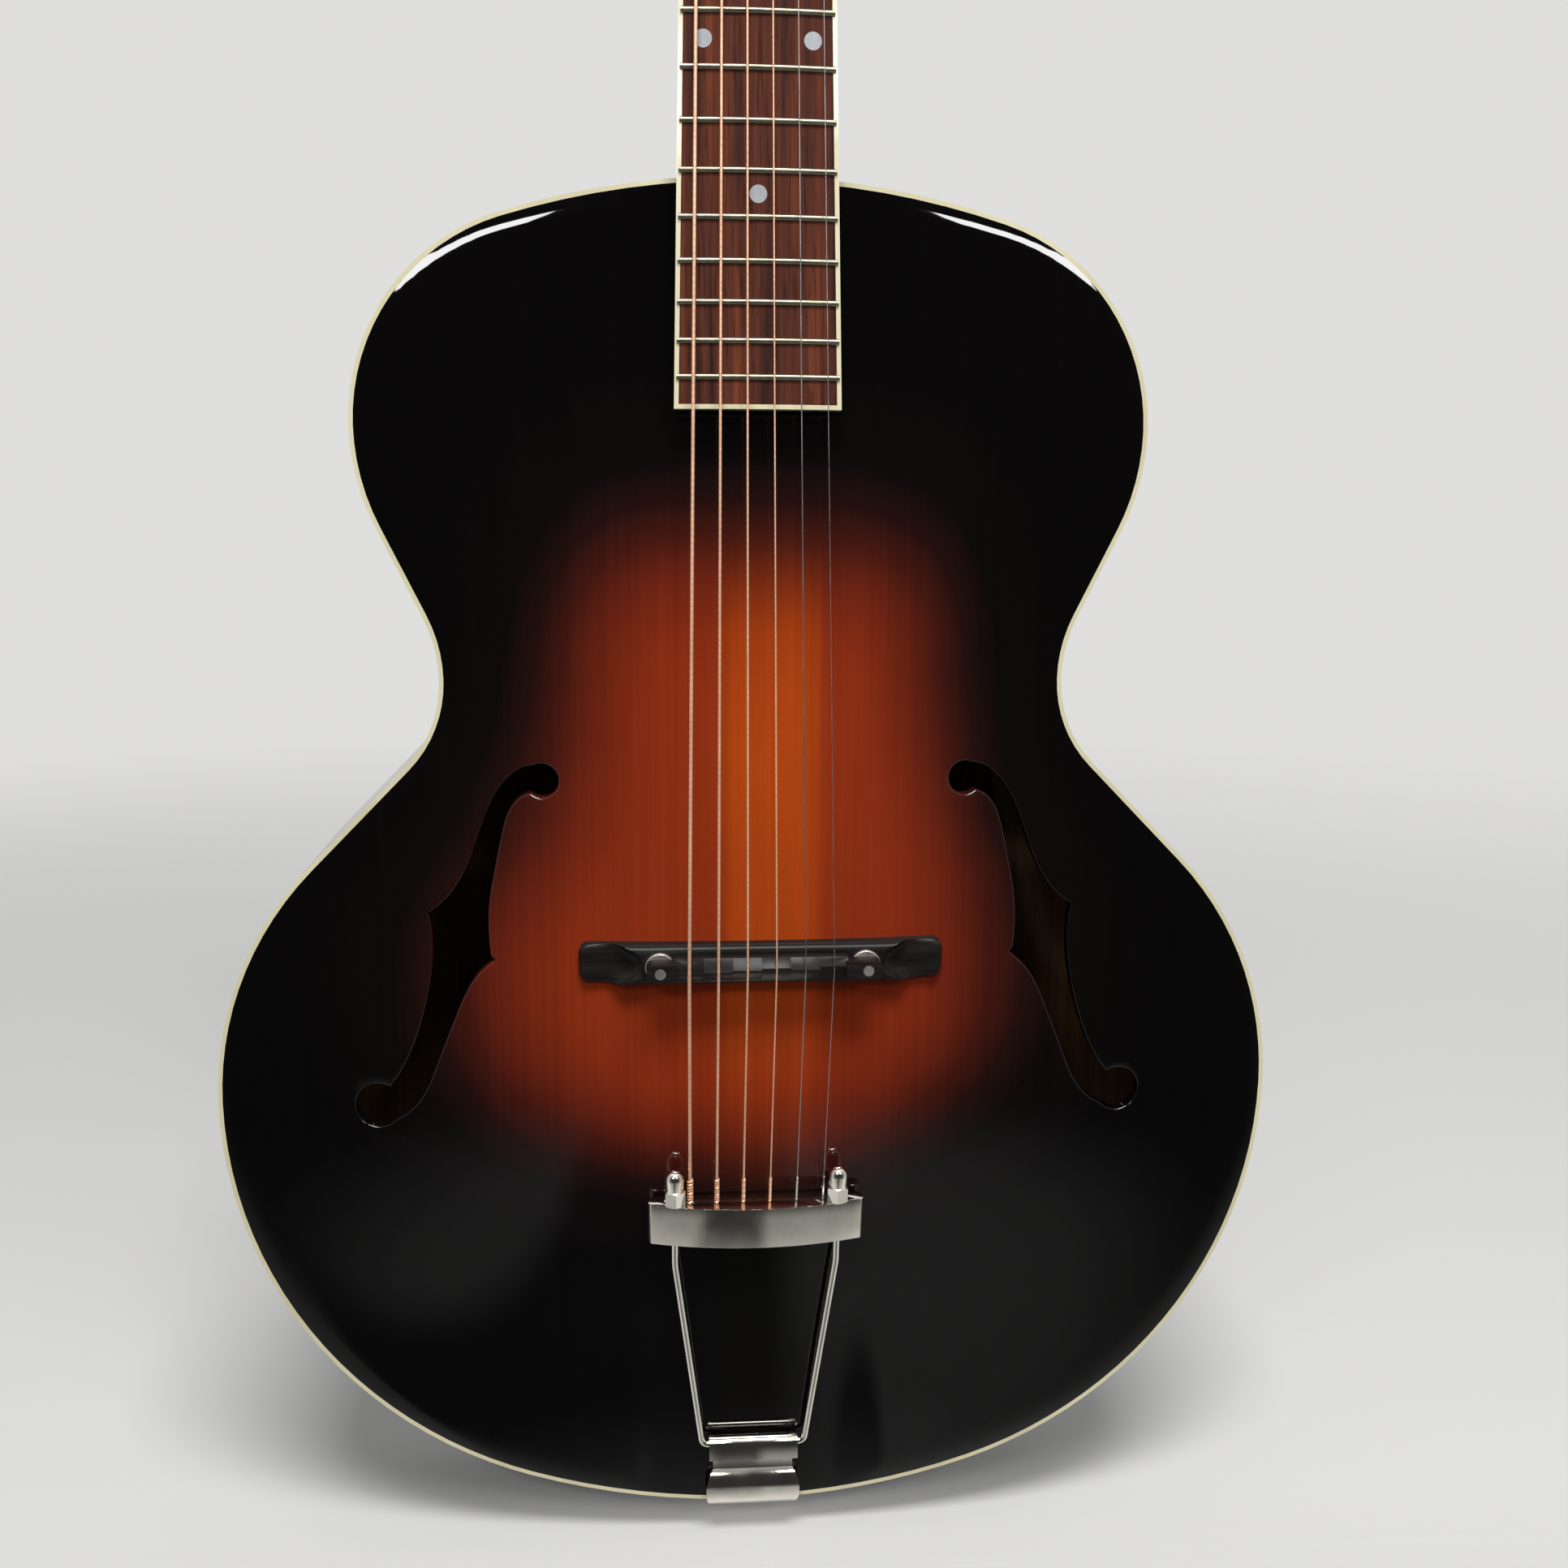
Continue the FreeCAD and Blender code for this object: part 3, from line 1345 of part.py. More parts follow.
def make_tailpiece():
    half = d.bar_width / 2
    front = -d.bar_depth / 2
    middle = Vector(0, front, 0)
    bow = d.bar_curve_radius - math.sqrt(d.bar_curve_radius ** 2 - half ** 2)
    face_half = half - d.bar_end_bulge
    ends = (Vector(-face_half, front + bow, 0), Vector(face_half, front + bow, 0))
    back = d.bar_depth / 2
    back_half = half - d.bar_corner
    backs = (Vector(-back_half, back, 0), Vector(back_half, back, 0))
    bulge_y = front + bow + BAR_BULGE_SHARE * (back - front - bow)
    outline = [
        Part.Arc(ends[0], middle, ends[1]).toShape(),
        Part.Arc(ends[1], Vector(half, bulge_y, 0), backs[1]).toShape(),
        line_edge(backs[1], backs[0]),
        Part.Arc(backs[0], Vector(-half, bulge_y, 0), ends[0]).toShape(),
    ]
    block = Part.Face(Part.Wire(outline)).extrude(Vector(0, 0, d.bar_height))
    wall = d.bar_wall
    inner_half = half - d.bar_end_wall
    inner_radius = d.bar_curve_radius - wall
    inner_bow = inner_radius - math.sqrt(inner_radius ** 2 - inner_half ** 2)
    inner_end = front + wall + inner_bow
    open_back = back + OVERLAP
    hollow_outline = [
        Part.Arc(
            Vector(-inner_half, inner_end, wall),
            Vector(0, front + wall, wall),
            Vector(inner_half, inner_end, wall),
        ).toShape(),
        line_edge(Vector(inner_half, inner_end, wall), Vector(inner_half, open_back, wall)),
        line_edge(Vector(inner_half, open_back, wall), Vector(-inner_half, open_back, wall)),
        line_edge(Vector(-inner_half, open_back, wall), Vector(-inner_half, inner_end, wall)),
    ]
    hollow = Part.Face(Part.Wire(hollow_outline)).extrude(Vector(0, 0, d.bar_height - 2 * wall))
    tools = [hollow]
    for string in strings:
        radius = string.radius + d.string_hole_clearance
        low = Vector(string.tail_x, 0, d.bar_height / 2)
        tools.append(rod(radius, low, low + Z_AXIS * d.bar_height))
    for side in LEFT_RIGHT:
        foot = Vector(side * d.trapeze_bar_width / 2, 0, -OVERLAP)
        radius = d.trapeze_wire_diameter / 2 + d.joint_clearance
        tools.append(rod(radius, foot, foot + Z_AXIS * (d.bar_height + 2 * OVERLAP)))
    bar = cut_all(block, tools)
    bar.translate(Z_AXIS * bar_reach)
    feature("tailpiece_bar", bar, trapeze_frame)

    foot = d.trapeze_foot_width / 2
    top = d.trapeze_bar_width / 2
    nut_seat = bar_top + d.acorn_hex_length
    bend = bar_reach - d.trapeze_straight
    points = [
        Vector(-top, 0, nut_seat),
        Vector(-top, 0, bend),
        Vector(-foot, 0, 0),
        Vector(foot, 0, 0),
        Vector(top, 0, bend),
        Vector(top, 0, nut_seat),
    ]
    radii = [d.trapeze_top_radius, d.trapeze_bend_radius, d.trapeze_bend_radius, d.trapeze_top_radius]
    edges = rounded_edges(points, radii)
    wire = tube(edges, d.trapeze_wire_diameter / 2, points[0], points[1] - points[0])
    feature("tailpiece_wire", wire, trapeze_frame)

    hexagon = doc.addObject("Part::Prism", "acorn_hex")
    hexagon.Polygon = 6
    hexagon.setExpression("Circumradius", "Sizes.acorn_across / 2 / cos(30)")
    hexagon.setExpression("Height", "Sizes.acorn_hex_length")
    dome = turned_body("acorn_dome", [
        ("0", "0"),
        ("Sizes.acorn_across * 0.445", "0"),
        ("Sizes.acorn_across * 0.445", "Sizes.acorn_dome_length * 0.57"),
        ("Sizes.acorn_across * 0.425", "Sizes.acorn_dome_length * 0.7"),
        ("Sizes.acorn_across * 0.365", "Sizes.acorn_dome_length * 0.82"),
        ("Sizes.acorn_across * 0.27", "Sizes.acorn_dome_length * 0.915"),
        ("Sizes.acorn_across * 0.14", "Sizes.acorn_dome_length * 0.98"),
        ("0", "Sizes.acorn_dome_length"),
    ])
    dome.setExpression("Placement.Base.z", "Sizes.acorn_hex_length")
    bore = doc.addObject("Part::Cylinder", "acorn_bore")
    bore.setExpression("Radius", "Sizes.trapeze_wire_diameter / 2 + Sizes.joint_clearance")
    bore.setExpression("Height", "Sizes.acorn_hex_length + Sizes.joint_clearance")
    doc.recompute()
    acorn = hexagon.Shape.fuse(dome.Shape).cut(bore.Shape)
    copies = []
    for side in LEFT_RIGHT:
        spot = Placement(Vector(side * top, 0, bar_top), Rotation(Z_AXIS, side * d.acorn_turn))
        copies.append(moved(acorn, trapeze_frame.multiply(spot)))
    feature("acorn_nuts", Part.makeCompound(copies))


def strap_side(x, y, bend, radius, seat):
    # One side of the strap's profile: down from the barrel, round the body's edge and along the tail.
    join_z = bend.z + math.sqrt(radius ** 2 - (bend.y - y) ** 2)
    join = Vector(x, y, join_z)
    bottom = Vector(x, bend.y, bend.z - radius)
    seated = Vector(x, bend.y + d.strap_joggle, seat)
    tip = Vector(x, rim_front + d.strap_tail_length, seat)
    return [
        line_edge(Vector(x, y, pin.z), join),
        Part.Arc(join, Vector(x, bend.y - radius, bend.z), bottom).toShape(),
        line_edge(bottom, seated),
        line_edge(seated, tip),
    ]


def make_bracket():
    half = d.barrel_length / 2
    thick = d.strap_thickness
    outer = d.barrel_diameter / 2
    bore = d.trapeze_wire_diameter / 2 + d.running_clearance
    barrel = rod(outer, pin - X_AXIS * half, pin + X_AXIS * half)
    lip_top = pin.y - outer
    lip_z = pin.z - d.barrel_lip_drop
    lip_corners = [
        Vector(-half, lip_top, pin.z),
        Vector(-half, lip_top + thick, pin.z),
        Vector(-half, lip_top + thick - d.barrel_lip_flare, lip_z),
        Vector(-half, lip_top - d.barrel_lip_flare, lip_z),
    ]
    lip = prism(lip_corners, Vector(d.barrel_length, 0, 0))
    seat_z = tail_end - d.strap_seat_gap
    tail_y = rim_front + d.strap_tail_length
    reach = d.strap_bend_radius - d.strap_edge_gap
    lean = math.radians(d.strap_bend_lean)
    bend = Vector(0, rim_front + reach * math.sin(lean), tail_end + reach * math.cos(lean))
    back_y = pin.y + outer
    edge_x = -d.strap_bulge / 2
    inside = strap_side(edge_x, back_y, bend, d.strap_bend_radius, seat_z)
    outside = strap_side(edge_x, back_y - thick, bend, d.strap_bend_radius + thick, seat_z - thick)
    edges = inside + outside
    for index, at_end in ((0, 0), (-1, -1)):
        edges.append(line_edge(inside[index].Vertexes[at_end].Point, outside[index].Vertexes[at_end].Point))
    strap = Part.Face(Part.Wire(Part.__sortEdges__(edges))).extrude(Vector(d.strap_bulge, 0, 0))
    crease_z = outside[0].Vertexes[-1].Point.z
    low_z = tail_end - FAR / 20
    waist = d.strap_waist / 2
    tail_half = d.strap_width / 2
    right = [
        line_edge(Vector(waist, 0, pin.z), Vector(waist, 0, crease_z)),
        Part.Arc(
            Vector(waist, 0, crease_z),
            Vector(d.strap_bulge / 2, 0, bend.z),
            Vector(tail_half, 0, tail_end),
        ).toShape(),
        line_edge(Vector(tail_half, 0, tail_end), Vector(tail_half, 0, low_z)),
    ]
    front = right + [mirrored(edge) for edge in right]
    front.append(line_edge(Vector(-waist, 0, pin.z), Vector(waist, 0, pin.z)))
    front.append(line_edge(Vector(-tail_half, 0, low_z), Vector(tail_half, 0, low_z)))
    plan = Part.Face(Part.Wire(Part.__sortEdges__(front))).extrude(Vector(0, FAR / 5, 0))
    plan.translate(Vector(0, -FAR / 10, 0))
    corner_box = box(-FAR, FAR, tail_y - tail_half, FAR, seat_z - thick - OVERLAP, seat_z + OVERLAP)
    round_end = Part.makeCylinder(tail_half, FAR, Vector(0, tail_y - tail_half, seat_z - FAR / 2))
    strap = strap.common(plan).cut(corner_box.cut(round_end))
    holes = tail_holes(d.joint_clearance) + [rod(bore, pin - X_AXIS * FAR / 10, pin + X_AXIS * FAR / 10)]
    feature("tailpiece_bracket", cut_all(fused([barrel, lip, strap]), holes))

    screw = turned_body("wood_screw", [
        ("0", "0"),
        ("Sizes.wood_screw_diameter / 2", "Sizes.wood_screw_diameter"),
        ("Sizes.wood_screw_diameter / 2", "Sizes.wood_screw_length"),
        ("Sizes.wood_screw_head / 2", "Sizes.wood_screw_length"),
        ("Sizes.wood_screw_head * 0.42", "Sizes.wood_screw_length + Sizes.wood_screw_head * 0.2"),
        ("Sizes.wood_screw_head * 0.22", "Sizes.wood_screw_length + Sizes.wood_screw_head * 0.32"),
        ("0", "Sizes.wood_screw_length + Sizes.wood_screw_head * 0.34"),
    ])
    face_z = seat_z - thick
    copies = []
    for x, y in screw_spots:
        spot = Placement(Vector(x, y, face_z + d.wood_screw_length), Rotation(X_AXIS, 180))
        copies.append(moved(screw.Shape, spot))
    feature("bracket_screws", Part.makeCompound(copies))

    shank = "Sizes.end_pin_shank / 2"
    head = "Sizes.end_pin_head / 2"
    depth = "Sizes.end_block_length"
    stand = "Sizes.end_pin_stand"
    button = turned_body("end_pin", [
        ("0", "0"),
        (shank, "0"),
        (shank, depth),
        (head, depth),
        (head, f"{depth} + {stand} * 0.12"),
        (f"{head} * 0.62", f"{depth} + {stand} * 0.34"),
        (f"{head} * 0.62", f"{depth} + {stand} * 0.58"),
        (head, f"{depth} + {stand} * 0.8"),
        (f"{head} * 0.94", f"{depth} + {stand}"),
        ("0", f"{depth} + {stand}"),
    ])
    button.Placement = Placement(Vector(0, end_pin_y, face_z + d.end_block_length), Rotation(X_AXIS, 180))
    publish(button, "end_pin")


# Tuners: three on a plate each side, a worm on every button's shaft and a gear on every post

plate_back = headstock_back + d.tuner_plate_thickness
gear_radius = d.gear_module * d.gear_teeth / 2
gear_y = plate_back + d.gear_standoff + d.gear_thickness / 2
worm_distance = gear_radius + d.worm_pitch_radius
thread_pitch = math.pi * d.gear_module
ear_offset = d.worm_length / 2 + d.ear_gap
shaft_radius = d.worm_shaft_diameter / 2


def gear_shape():
    # Straight-sided teeth round the post, with a gap facing the worm and backlash all round.
    tip = gear_radius + d.gear_addendum
    root = gear_radius - d.gear_dedendum
    step = 2 * math.pi / d.gear_teeth
    wide = d.tooth_root_share * step / 2
    narrow = d.tooth_tip_share * step / 2
    corners = []
    for tooth in range(int(d.gear_teeth)):
        middle = (tooth + 0.5) * step - math.pi / 2
        for radius, lean in ((root, -wide), (tip, -narrow), (tip, narrow), (root, wide)):
            angle = middle + lean
            corners.append(Vector(radius * math.cos(angle), 0, radius * math.sin(angle)))
    gear = prism(corners, Vector(0, d.gear_thickness, 0))
    gear.translate(Vector(0, -d.gear_thickness / 2, 0))
    return gear


def worm_shape():
    # One screw thread about local +X, which moves one tooth on in each turn.
    core = d.worm_pitch_radius - d.worm_dedendum
    crest = d.worm_pitch_radius + d.worm_addendum
    sunk = core - OVERLAP / 10
    wide = d.thread_root_share * thread_pitch / 2
    narrow = d.thread_crest_share * thread_pitch / 2
    length = d.worm_turns * thread_pitch
    profile = Part.makePolygon([
        Vector(sunk, 0, -wide),
        Vector(crest, 0, -narrow),
        Vector(crest, 0, narrow),
        Vector(sunk, 0, wide),
        Vector(sunk, 0, -wide),
    ])
    thread = Part.Wire(Part.makeHelix(thread_pitch, length, d.worm_pitch_radius))
    thread = thread.makePipeShell([profile], True, True)
    thread.translate(Vector(0, 0, -length / 2))
    shaft = Part.makeCylinder(core, d.worm_length, Vector(0, 0, -d.worm_length / 2))
    worm = shaft.fuse(thread)
    worm.rotate(ORIGIN, Y_AXIS, 90)
    return worm


def make_tuners():
    worm = worm_shape()
    gear = gear_shape()
    names = {post_place(string): string.name for string in strings}
    post = turned_body("tuner_post_blank", [
        ("0", "0"),
        ("Sizes.tuner_post_diameter / 2", "0"),
        ("Sizes.tuner_post_diameter / 2", post_length_text + " - Sizes.tuner_post_stand * 0.55"),
        ("Sizes.tuner_post_diameter * 0.44", post_length_text + " - Sizes.tuner_post_stand * 0.35"),
        ("Sizes.tuner_post_diameter / 2", post_length_text + " - Sizes.tuner_post_stand * 0.1"),
        ("Sizes.tuner_post_diameter * 0.4", post_length_text),
        ("0", post_length_text),
    ])
    plate_tools = {side: [] for side in LEFT_RIGHT}
    plate_ears = {side: [] for side in LEFT_RIGHT}
    for place, (side, x, z) in enumerate(post_spots()):
        name = names[place]
        worm_z = z - worm_distance
        centre = Vector(x, gear_y, worm_z)
        post_low = gear_y + d.gear_thickness / 2
        stem = moved(post.Shape, Placement(Vector(x, post_low, z), Rotation(X_AXIS, 90)))
        wheel = gear.copy()
        wheel.translate(Vector(x, gear_y, z))
        hole_y = -d.string_wind_height
        hole = d.post_hole_diameter / 2
        eyelet = rod(hole, Vector(x, hole_y, z - FAR / 100), Vector(x, hole_y, z + FAR / 100))
        feature(f"tuner_post_{name}", stem.fuse(wheel).cut(eyelet), headstock_frame)

        inner = centre - X_AXIS * (side * (ear_offset + d.ear_thickness))
        outer = centre + X_AXIS * (side * (d.button_reach - d.tuner_post_offset))
        spindle = rod(shaft_radius, inner, outer)
        screw_thread = worm.copy()
        screw_thread.translate(centre)
        feature(f"tuner_worm_{name}", screw_thread.fuse(spindle), headstock_frame)
        feature(f"tuner_button_{name}", button_shape(side, gear_y, worm_z), headstock_frame)

        for way in LEFT_RIGHT:
            ear_x = x + way * (ear_offset + d.ear_thickness / 2)
            half = d.ear_thickness / 2
            arm = shaft_radius + d.ear_rim
            low = headstock_back
            ear = box(ear_x - half, ear_x + half, low, gear_y, worm_z - arm, worm_z + arm)
            cap = rod(arm, Vector(ear_x - half, gear_y, worm_z), Vector(ear_x + half, gear_y, worm_z))
            plate_ears[side].append(ear.fuse(cap))
        bore = shaft_radius + d.running_clearance
        plate_tools[side].append(rod(bore, centre - X_AXIS * FAR / 20, centre + X_AXIS * FAR / 20))
        hole = d.tuner_post_diameter / 2 + d.running_clearance
        plate_tools[side].append(rod(hole, Vector(x, 0, z), Vector(x, plate_back + OVERLAP, z)))

    for side, label in zip(LEFT_RIGHT, ("tuner_plate_bass", "tuner_plate_treble")):
        strip = padded_body(f"{label}_strip", [
            ("-Sizes.tuner_plate_width / 2", "-Sizes.tuner_plate_overhang"),
            ("Sizes.tuner_plate_width / 2", "-Sizes.tuner_plate_overhang"),
            ("Sizes.tuner_plate_width / 2", "2 * Sizes.tuner_pitch + Sizes.tuner_plate_overhang"),
            ("-Sizes.tuner_plate_width / 2", "2 * Sizes.tuner_pitch + Sizes.tuner_plate_overhang"),
        ], "Sizes.tuner_plate_thickness")
        spot = Vector(side * d.tuner_post_offset, plate_back, d.tuner_first)
        shape = moved(strip.Shape, Placement(spot, Rotation(X_AXIS, 90)))
        shape = fused([shape] + plate_ears[side])
        tools = plate_tools[side] + small_screw_holes()
        feature(label, cut_all(shape, tools), headstock_frame)

    bushing = turned_body("bushing_blank", [
        ("Sizes.tuner_post_diameter / 2 + Sizes.running_clearance", "0"),
        ("Sizes.bushing_diameter / 2", "0"),
        ("Sizes.bushing_diameter / 2", "Sizes.bushing_length"),
        ("Sizes.bushing_flange / 2", "Sizes.bushing_length"),
        ("Sizes.bushing_flange / 2 - Sizes.bushing_chamfer",
         "Sizes.bushing_length + Sizes.bushing_flange_thickness"),
        ("Sizes.tuner_post_diameter / 2 + Sizes.running_clearance",
         "Sizes.bushing_length + Sizes.bushing_flange_thickness"),
    ])
    copies = []
    for _, x, z in post_spots():
        spot = Placement(Vector(x, d.bushing_length, z), Rotation(X_AXIS, 90))
        copies.append(moved(bushing.Shape, headstock_frame.multiply(spot)))
    feature("tuner_bushings", Part.makeCompound(copies))

    screw = turned_body("plate_screw", [
        ("0", "0"),
        ("Sizes.plate_screw_diameter / 2", "0"),
        ("Sizes.plate_screw_diameter / 2", "Sizes.plate_screw_length + Sizes.tuner_plate_thickness"),
        ("Sizes.plate_screw_head / 2", "Sizes.plate_screw_length + Sizes.tuner_plate_thickness"),
        ("Sizes.plate_screw_head * 0.3",
         "Sizes.plate_screw_length + Sizes.tuner_plate_thickness + Sizes.plate_screw_head * 0.3"),
        ("0", "Sizes.plate_screw_length + Sizes.tuner_plate_thickness + Sizes.plate_screw_head * 0.3"),
    ])
    copies = []
    for side in LEFT_RIGHT:
        for x, z in plate_screw_spots(side):
            spot = Placement(Vector(x, headstock_back - d.plate_screw_length, z), Rotation(X_AXIS, -90))
            copies.append(moved(screw.Shape, headstock_frame.multiply(spot)))
    feature("tuner_screws", Part.makeCompound(copies))


post_length_text = (
    "(Sizes.tuner_post_stand + Sizes.veneer_thickness + Sizes.headstock_thickness"
    " + Sizes.tuner_plate_thickness + Sizes.gear_standoff + Sizes.gear_thickness)"
)


def button_shape(side, y, z):
    # A rounded oval grip with a collar, sleeved over the worm shaft's end.
    start = d.button_reach - d.button_length * 0.35
    grip = Part.makeSphere(1.0)
    matrix = FreeCAD.Matrix()
    matrix.scale(d.button_length / 2, d.button_thickness / 2, d.button_height / 2)
    grip = grip.transformGeometry(matrix)
    grip.translate(Vector(start + d.button_length * 0.62, y, z))
    collar_end = Vector(start + d.button_length * 0.5, y, z)
    collar = rod(shaft_radius + d.button_collar, Vector(start, y, z), collar_end)
    bore = rod(shaft_radius, Vector(start - OVERLAP, y, z), Vector(d.button_reach, y, z))
    button = grip.fuse(collar).cut(bore)
    return button if side > 0 else mirrored(button)


def check_document():
    for item in doc.Objects:
        broken = [state for state in item.State if state in ("Invalid", "Error")]
        if broken:
            raise RuntimeError(f"{item.Label} is {broken}")
    for item in pieces:
        if item.Shape.isNull() or not item.Shape.isValid():
            raise RuntimeError(f"{item.Label} has no valid shape")
        if not item.Shape.Solids:
            raise RuntimeError(f"{item.Label} has no solid")


make_body()
make_neck()
make_truss_rod()
make_fretboard()
make_nut()
make_headstock_veneer()
make_strings()
make_bridge_base()
make_bridge_hardware()
make_saddle()
make_tailpiece()
make_bracket()
make_tuners()
doc.recompute()
check_document()

os.makedirs("parts", exist_ok=True)
for item in pieces:
    item.Shape.exportStep(f"parts/{item.Label}.step")
    print(item.Label, len(item.Shape.Solids), round(item.Shape.Volume, 1))
print(len(pieces), "sub-parts")
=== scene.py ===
"""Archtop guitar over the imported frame: finishes, strings, small metal parts, stage and camera."""
import json
import math

import bmesh
import bpy
import numpy as np
from mathutils import Matrix, Vector
from mathutils.bvhtree import BVHTree
from mathutils.geometry import delaunay_2d_cdt
from mathutils.kdtree import KDTree


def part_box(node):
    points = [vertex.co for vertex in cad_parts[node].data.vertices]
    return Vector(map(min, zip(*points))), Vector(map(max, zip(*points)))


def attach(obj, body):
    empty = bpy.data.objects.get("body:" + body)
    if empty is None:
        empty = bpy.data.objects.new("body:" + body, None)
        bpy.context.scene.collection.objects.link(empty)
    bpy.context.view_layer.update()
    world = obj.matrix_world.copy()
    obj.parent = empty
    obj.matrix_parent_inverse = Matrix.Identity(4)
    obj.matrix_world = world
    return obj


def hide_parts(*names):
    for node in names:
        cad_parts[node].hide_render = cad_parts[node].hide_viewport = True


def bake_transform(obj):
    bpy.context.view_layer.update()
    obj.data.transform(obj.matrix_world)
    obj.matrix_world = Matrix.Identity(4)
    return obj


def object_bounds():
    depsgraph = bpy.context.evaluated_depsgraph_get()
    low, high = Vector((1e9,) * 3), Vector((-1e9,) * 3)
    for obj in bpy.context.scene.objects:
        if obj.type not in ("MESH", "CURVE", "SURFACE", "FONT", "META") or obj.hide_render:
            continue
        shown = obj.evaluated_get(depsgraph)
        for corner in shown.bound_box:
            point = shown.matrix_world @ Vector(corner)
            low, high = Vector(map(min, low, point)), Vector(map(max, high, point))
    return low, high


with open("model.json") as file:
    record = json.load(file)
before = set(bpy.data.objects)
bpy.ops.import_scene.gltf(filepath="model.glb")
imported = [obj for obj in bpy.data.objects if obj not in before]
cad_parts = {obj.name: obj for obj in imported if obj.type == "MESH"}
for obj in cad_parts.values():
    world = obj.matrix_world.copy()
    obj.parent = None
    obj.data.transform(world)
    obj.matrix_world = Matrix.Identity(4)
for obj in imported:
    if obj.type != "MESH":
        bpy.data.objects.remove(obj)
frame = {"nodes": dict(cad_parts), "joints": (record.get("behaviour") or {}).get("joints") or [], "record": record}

cad_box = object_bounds()
MM = 0.001

# Shader helpers


def put(tree, socket, value):
    if isinstance(value, bpy.types.NodeSocket):
        tree.links.new(value, socket)
    else:
        socket.default_value = value


def add(tree, kind, inputs=None, **settings):
    made = tree.nodes.new("ShaderNode" + kind)
    for key, value in settings.items():
        setattr(made, key, value)
    for key, value in (inputs or {}).items():
        put(tree, made.inputs[key], value)
    return made


def calc(tree, operation, first, second=0.0):
    return add(tree, "Math", {0: first, 1: second}, operation=operation).outputs[0]


def span(tree, value, low, high, to_low=0.0, to_high=1.0, smooth=True):
    inputs = {"Value": value, "From Min": low, "From Max": high, "To Min": to_low, "To Max": to_high}
    kind = "SMOOTHSTEP" if smooth else "LINEAR"
    return add(tree, "MapRange", inputs, interpolation_type=kind).outputs["Result"]


def mixed(tree, share, first, second, blend="MIX"):
    made = add(tree, "Mix", data_type="RGBA", blend_type=blend)
    put(tree, made.inputs["Factor"], share)
    put(tree, made.inputs["A"], first)
    put(tree, made.inputs["B"], second)
    return made.outputs["Result"]


def ramp(tree, value, stops):
    made = add(tree, "ValToRGB", {"Fac": value})
    elements = made.color_ramp.elements
    while len(elements) < len(stops):
        elements.new(0.5)
    for element, (position, colour) in zip(elements, stops):
        element.position = position
        element.color = (*colour, 1.0)
    return made.outputs["Color"]


def place(tree):
    return add(tree, "TexCoord").outputs["Object"]


def scaled(tree, vector, factors):
    return add(tree, "VectorMath", {0: vector, 1: factors}, operation="MULTIPLY").outputs[0]


def grain(tree, factors, detail=4.0, rough=0.55, distortion=0.0):
    inputs = {
        "Vector": scaled(tree, place(tree), factors),
        "Scale": 1.0,
        "Detail": detail,
        "Roughness": rough,
        "Distortion": distortion,
    }
    return add(tree, "TexNoise", inputs).outputs["Fac"]


def bumped(tree, height, strength, distance):
    inputs = {"Height": height, "Strength": strength, "Distance": distance}
    return add(tree, "Bump", inputs).outputs["Normal"]


def finish(name, **sockets):
    made = bpy.data.materials.new(name)
    made.use_nodes = True
    tree = made.node_tree
    shader = tree.nodes["Principled BSDF"]
    for key, value in sockets.items():
        shader.inputs[key.replace("_", " ")].default_value = value
    return made, tree, shader


def srgb(red, green, blue):
    values = []
    for value in (red, green, blue):
        share = value / 255
        values.append(share / 12.92 if share <= 0.04045 else ((share + 0.055) / 1.055) ** 2.4)
    return tuple(values)


# Lacquered wood

BURST_ROUNDS = (((-1.0, -559.0), (83.0, 102.3), 3.6), ((-11.1, -644.7), (111.7, 76.9), 2.0))
BURST_JOIN = 3.5
BURST_REACH = 1.4
BURST_COLOURS = (
    (0.00, (136, 47, 16)),
    (0.30, (128, 43, 16)),
    (0.50, (118, 38, 15)),
    (0.68, (93, 29, 14)),
    (0.82, (60, 19, 12)),
    (0.95, (29, 11, 9)),
    (1.08, (10, 6, 6)),
    (1.40, (5, 4, 4)),
)
STRIPE_MIDDLE = 5.0
STRIPE_WANDER = 3.0
STRIPE_HALF = (14.0, 21.0)
STRIPE_TOP = (-465.0, -510.0)
STRIPE_FOOT = (-690.0, -610.0)
STRIPE_FAINT = 0.25
STRIPE_TINT = (1.45, 1.75, 0.85, 1.0)


def burst_field(tree, rounds, join):
    total = None
    for (x, z), (across, along), square in rounds:
        middle = (x * MM, 0, z * MM)
        spot = add(tree, "VectorMath", {0: place(tree), 1: middle}, operation="SUBTRACT").outputs[0]
        flat = scaled(tree, spot, (1 / (across * MM), 0, 1 / (along * MM)))
        far = add(tree, "VectorMath", {0: flat}, operation="ABSOLUTE").outputs[0]
        sides = add(tree, "SeparateXYZ", {0: far}).outputs
        powers = [calc(tree, "POWER", sides[axis], square) for axis in "XZ"]
        length = calc(tree, "POWER", calc(tree, "ADD", *powers), 1 / square)
        near = calc(tree, "EXPONENT", calc(tree, "MULTIPLY", length, -join))
        total = near if total is None else calc(tree, "ADD", total, near)
    return calc(tree, "MULTIPLY", calc(tree, "LOGARITHM", total, math.e), -1 / join)


def facing(tree):
    normal = add(tree, "NewGeometry").outputs["Normal"]
    return add(tree, "SeparateXYZ", {0: normal}).outputs["Y"]


def lacquer_coat(tree, shader):
    height = grain(tree, (55, 55, 55), detail=1.0)
    put(tree, shader.inputs["Coat Normal"], bumped(tree, height, 0.012, 0.002))


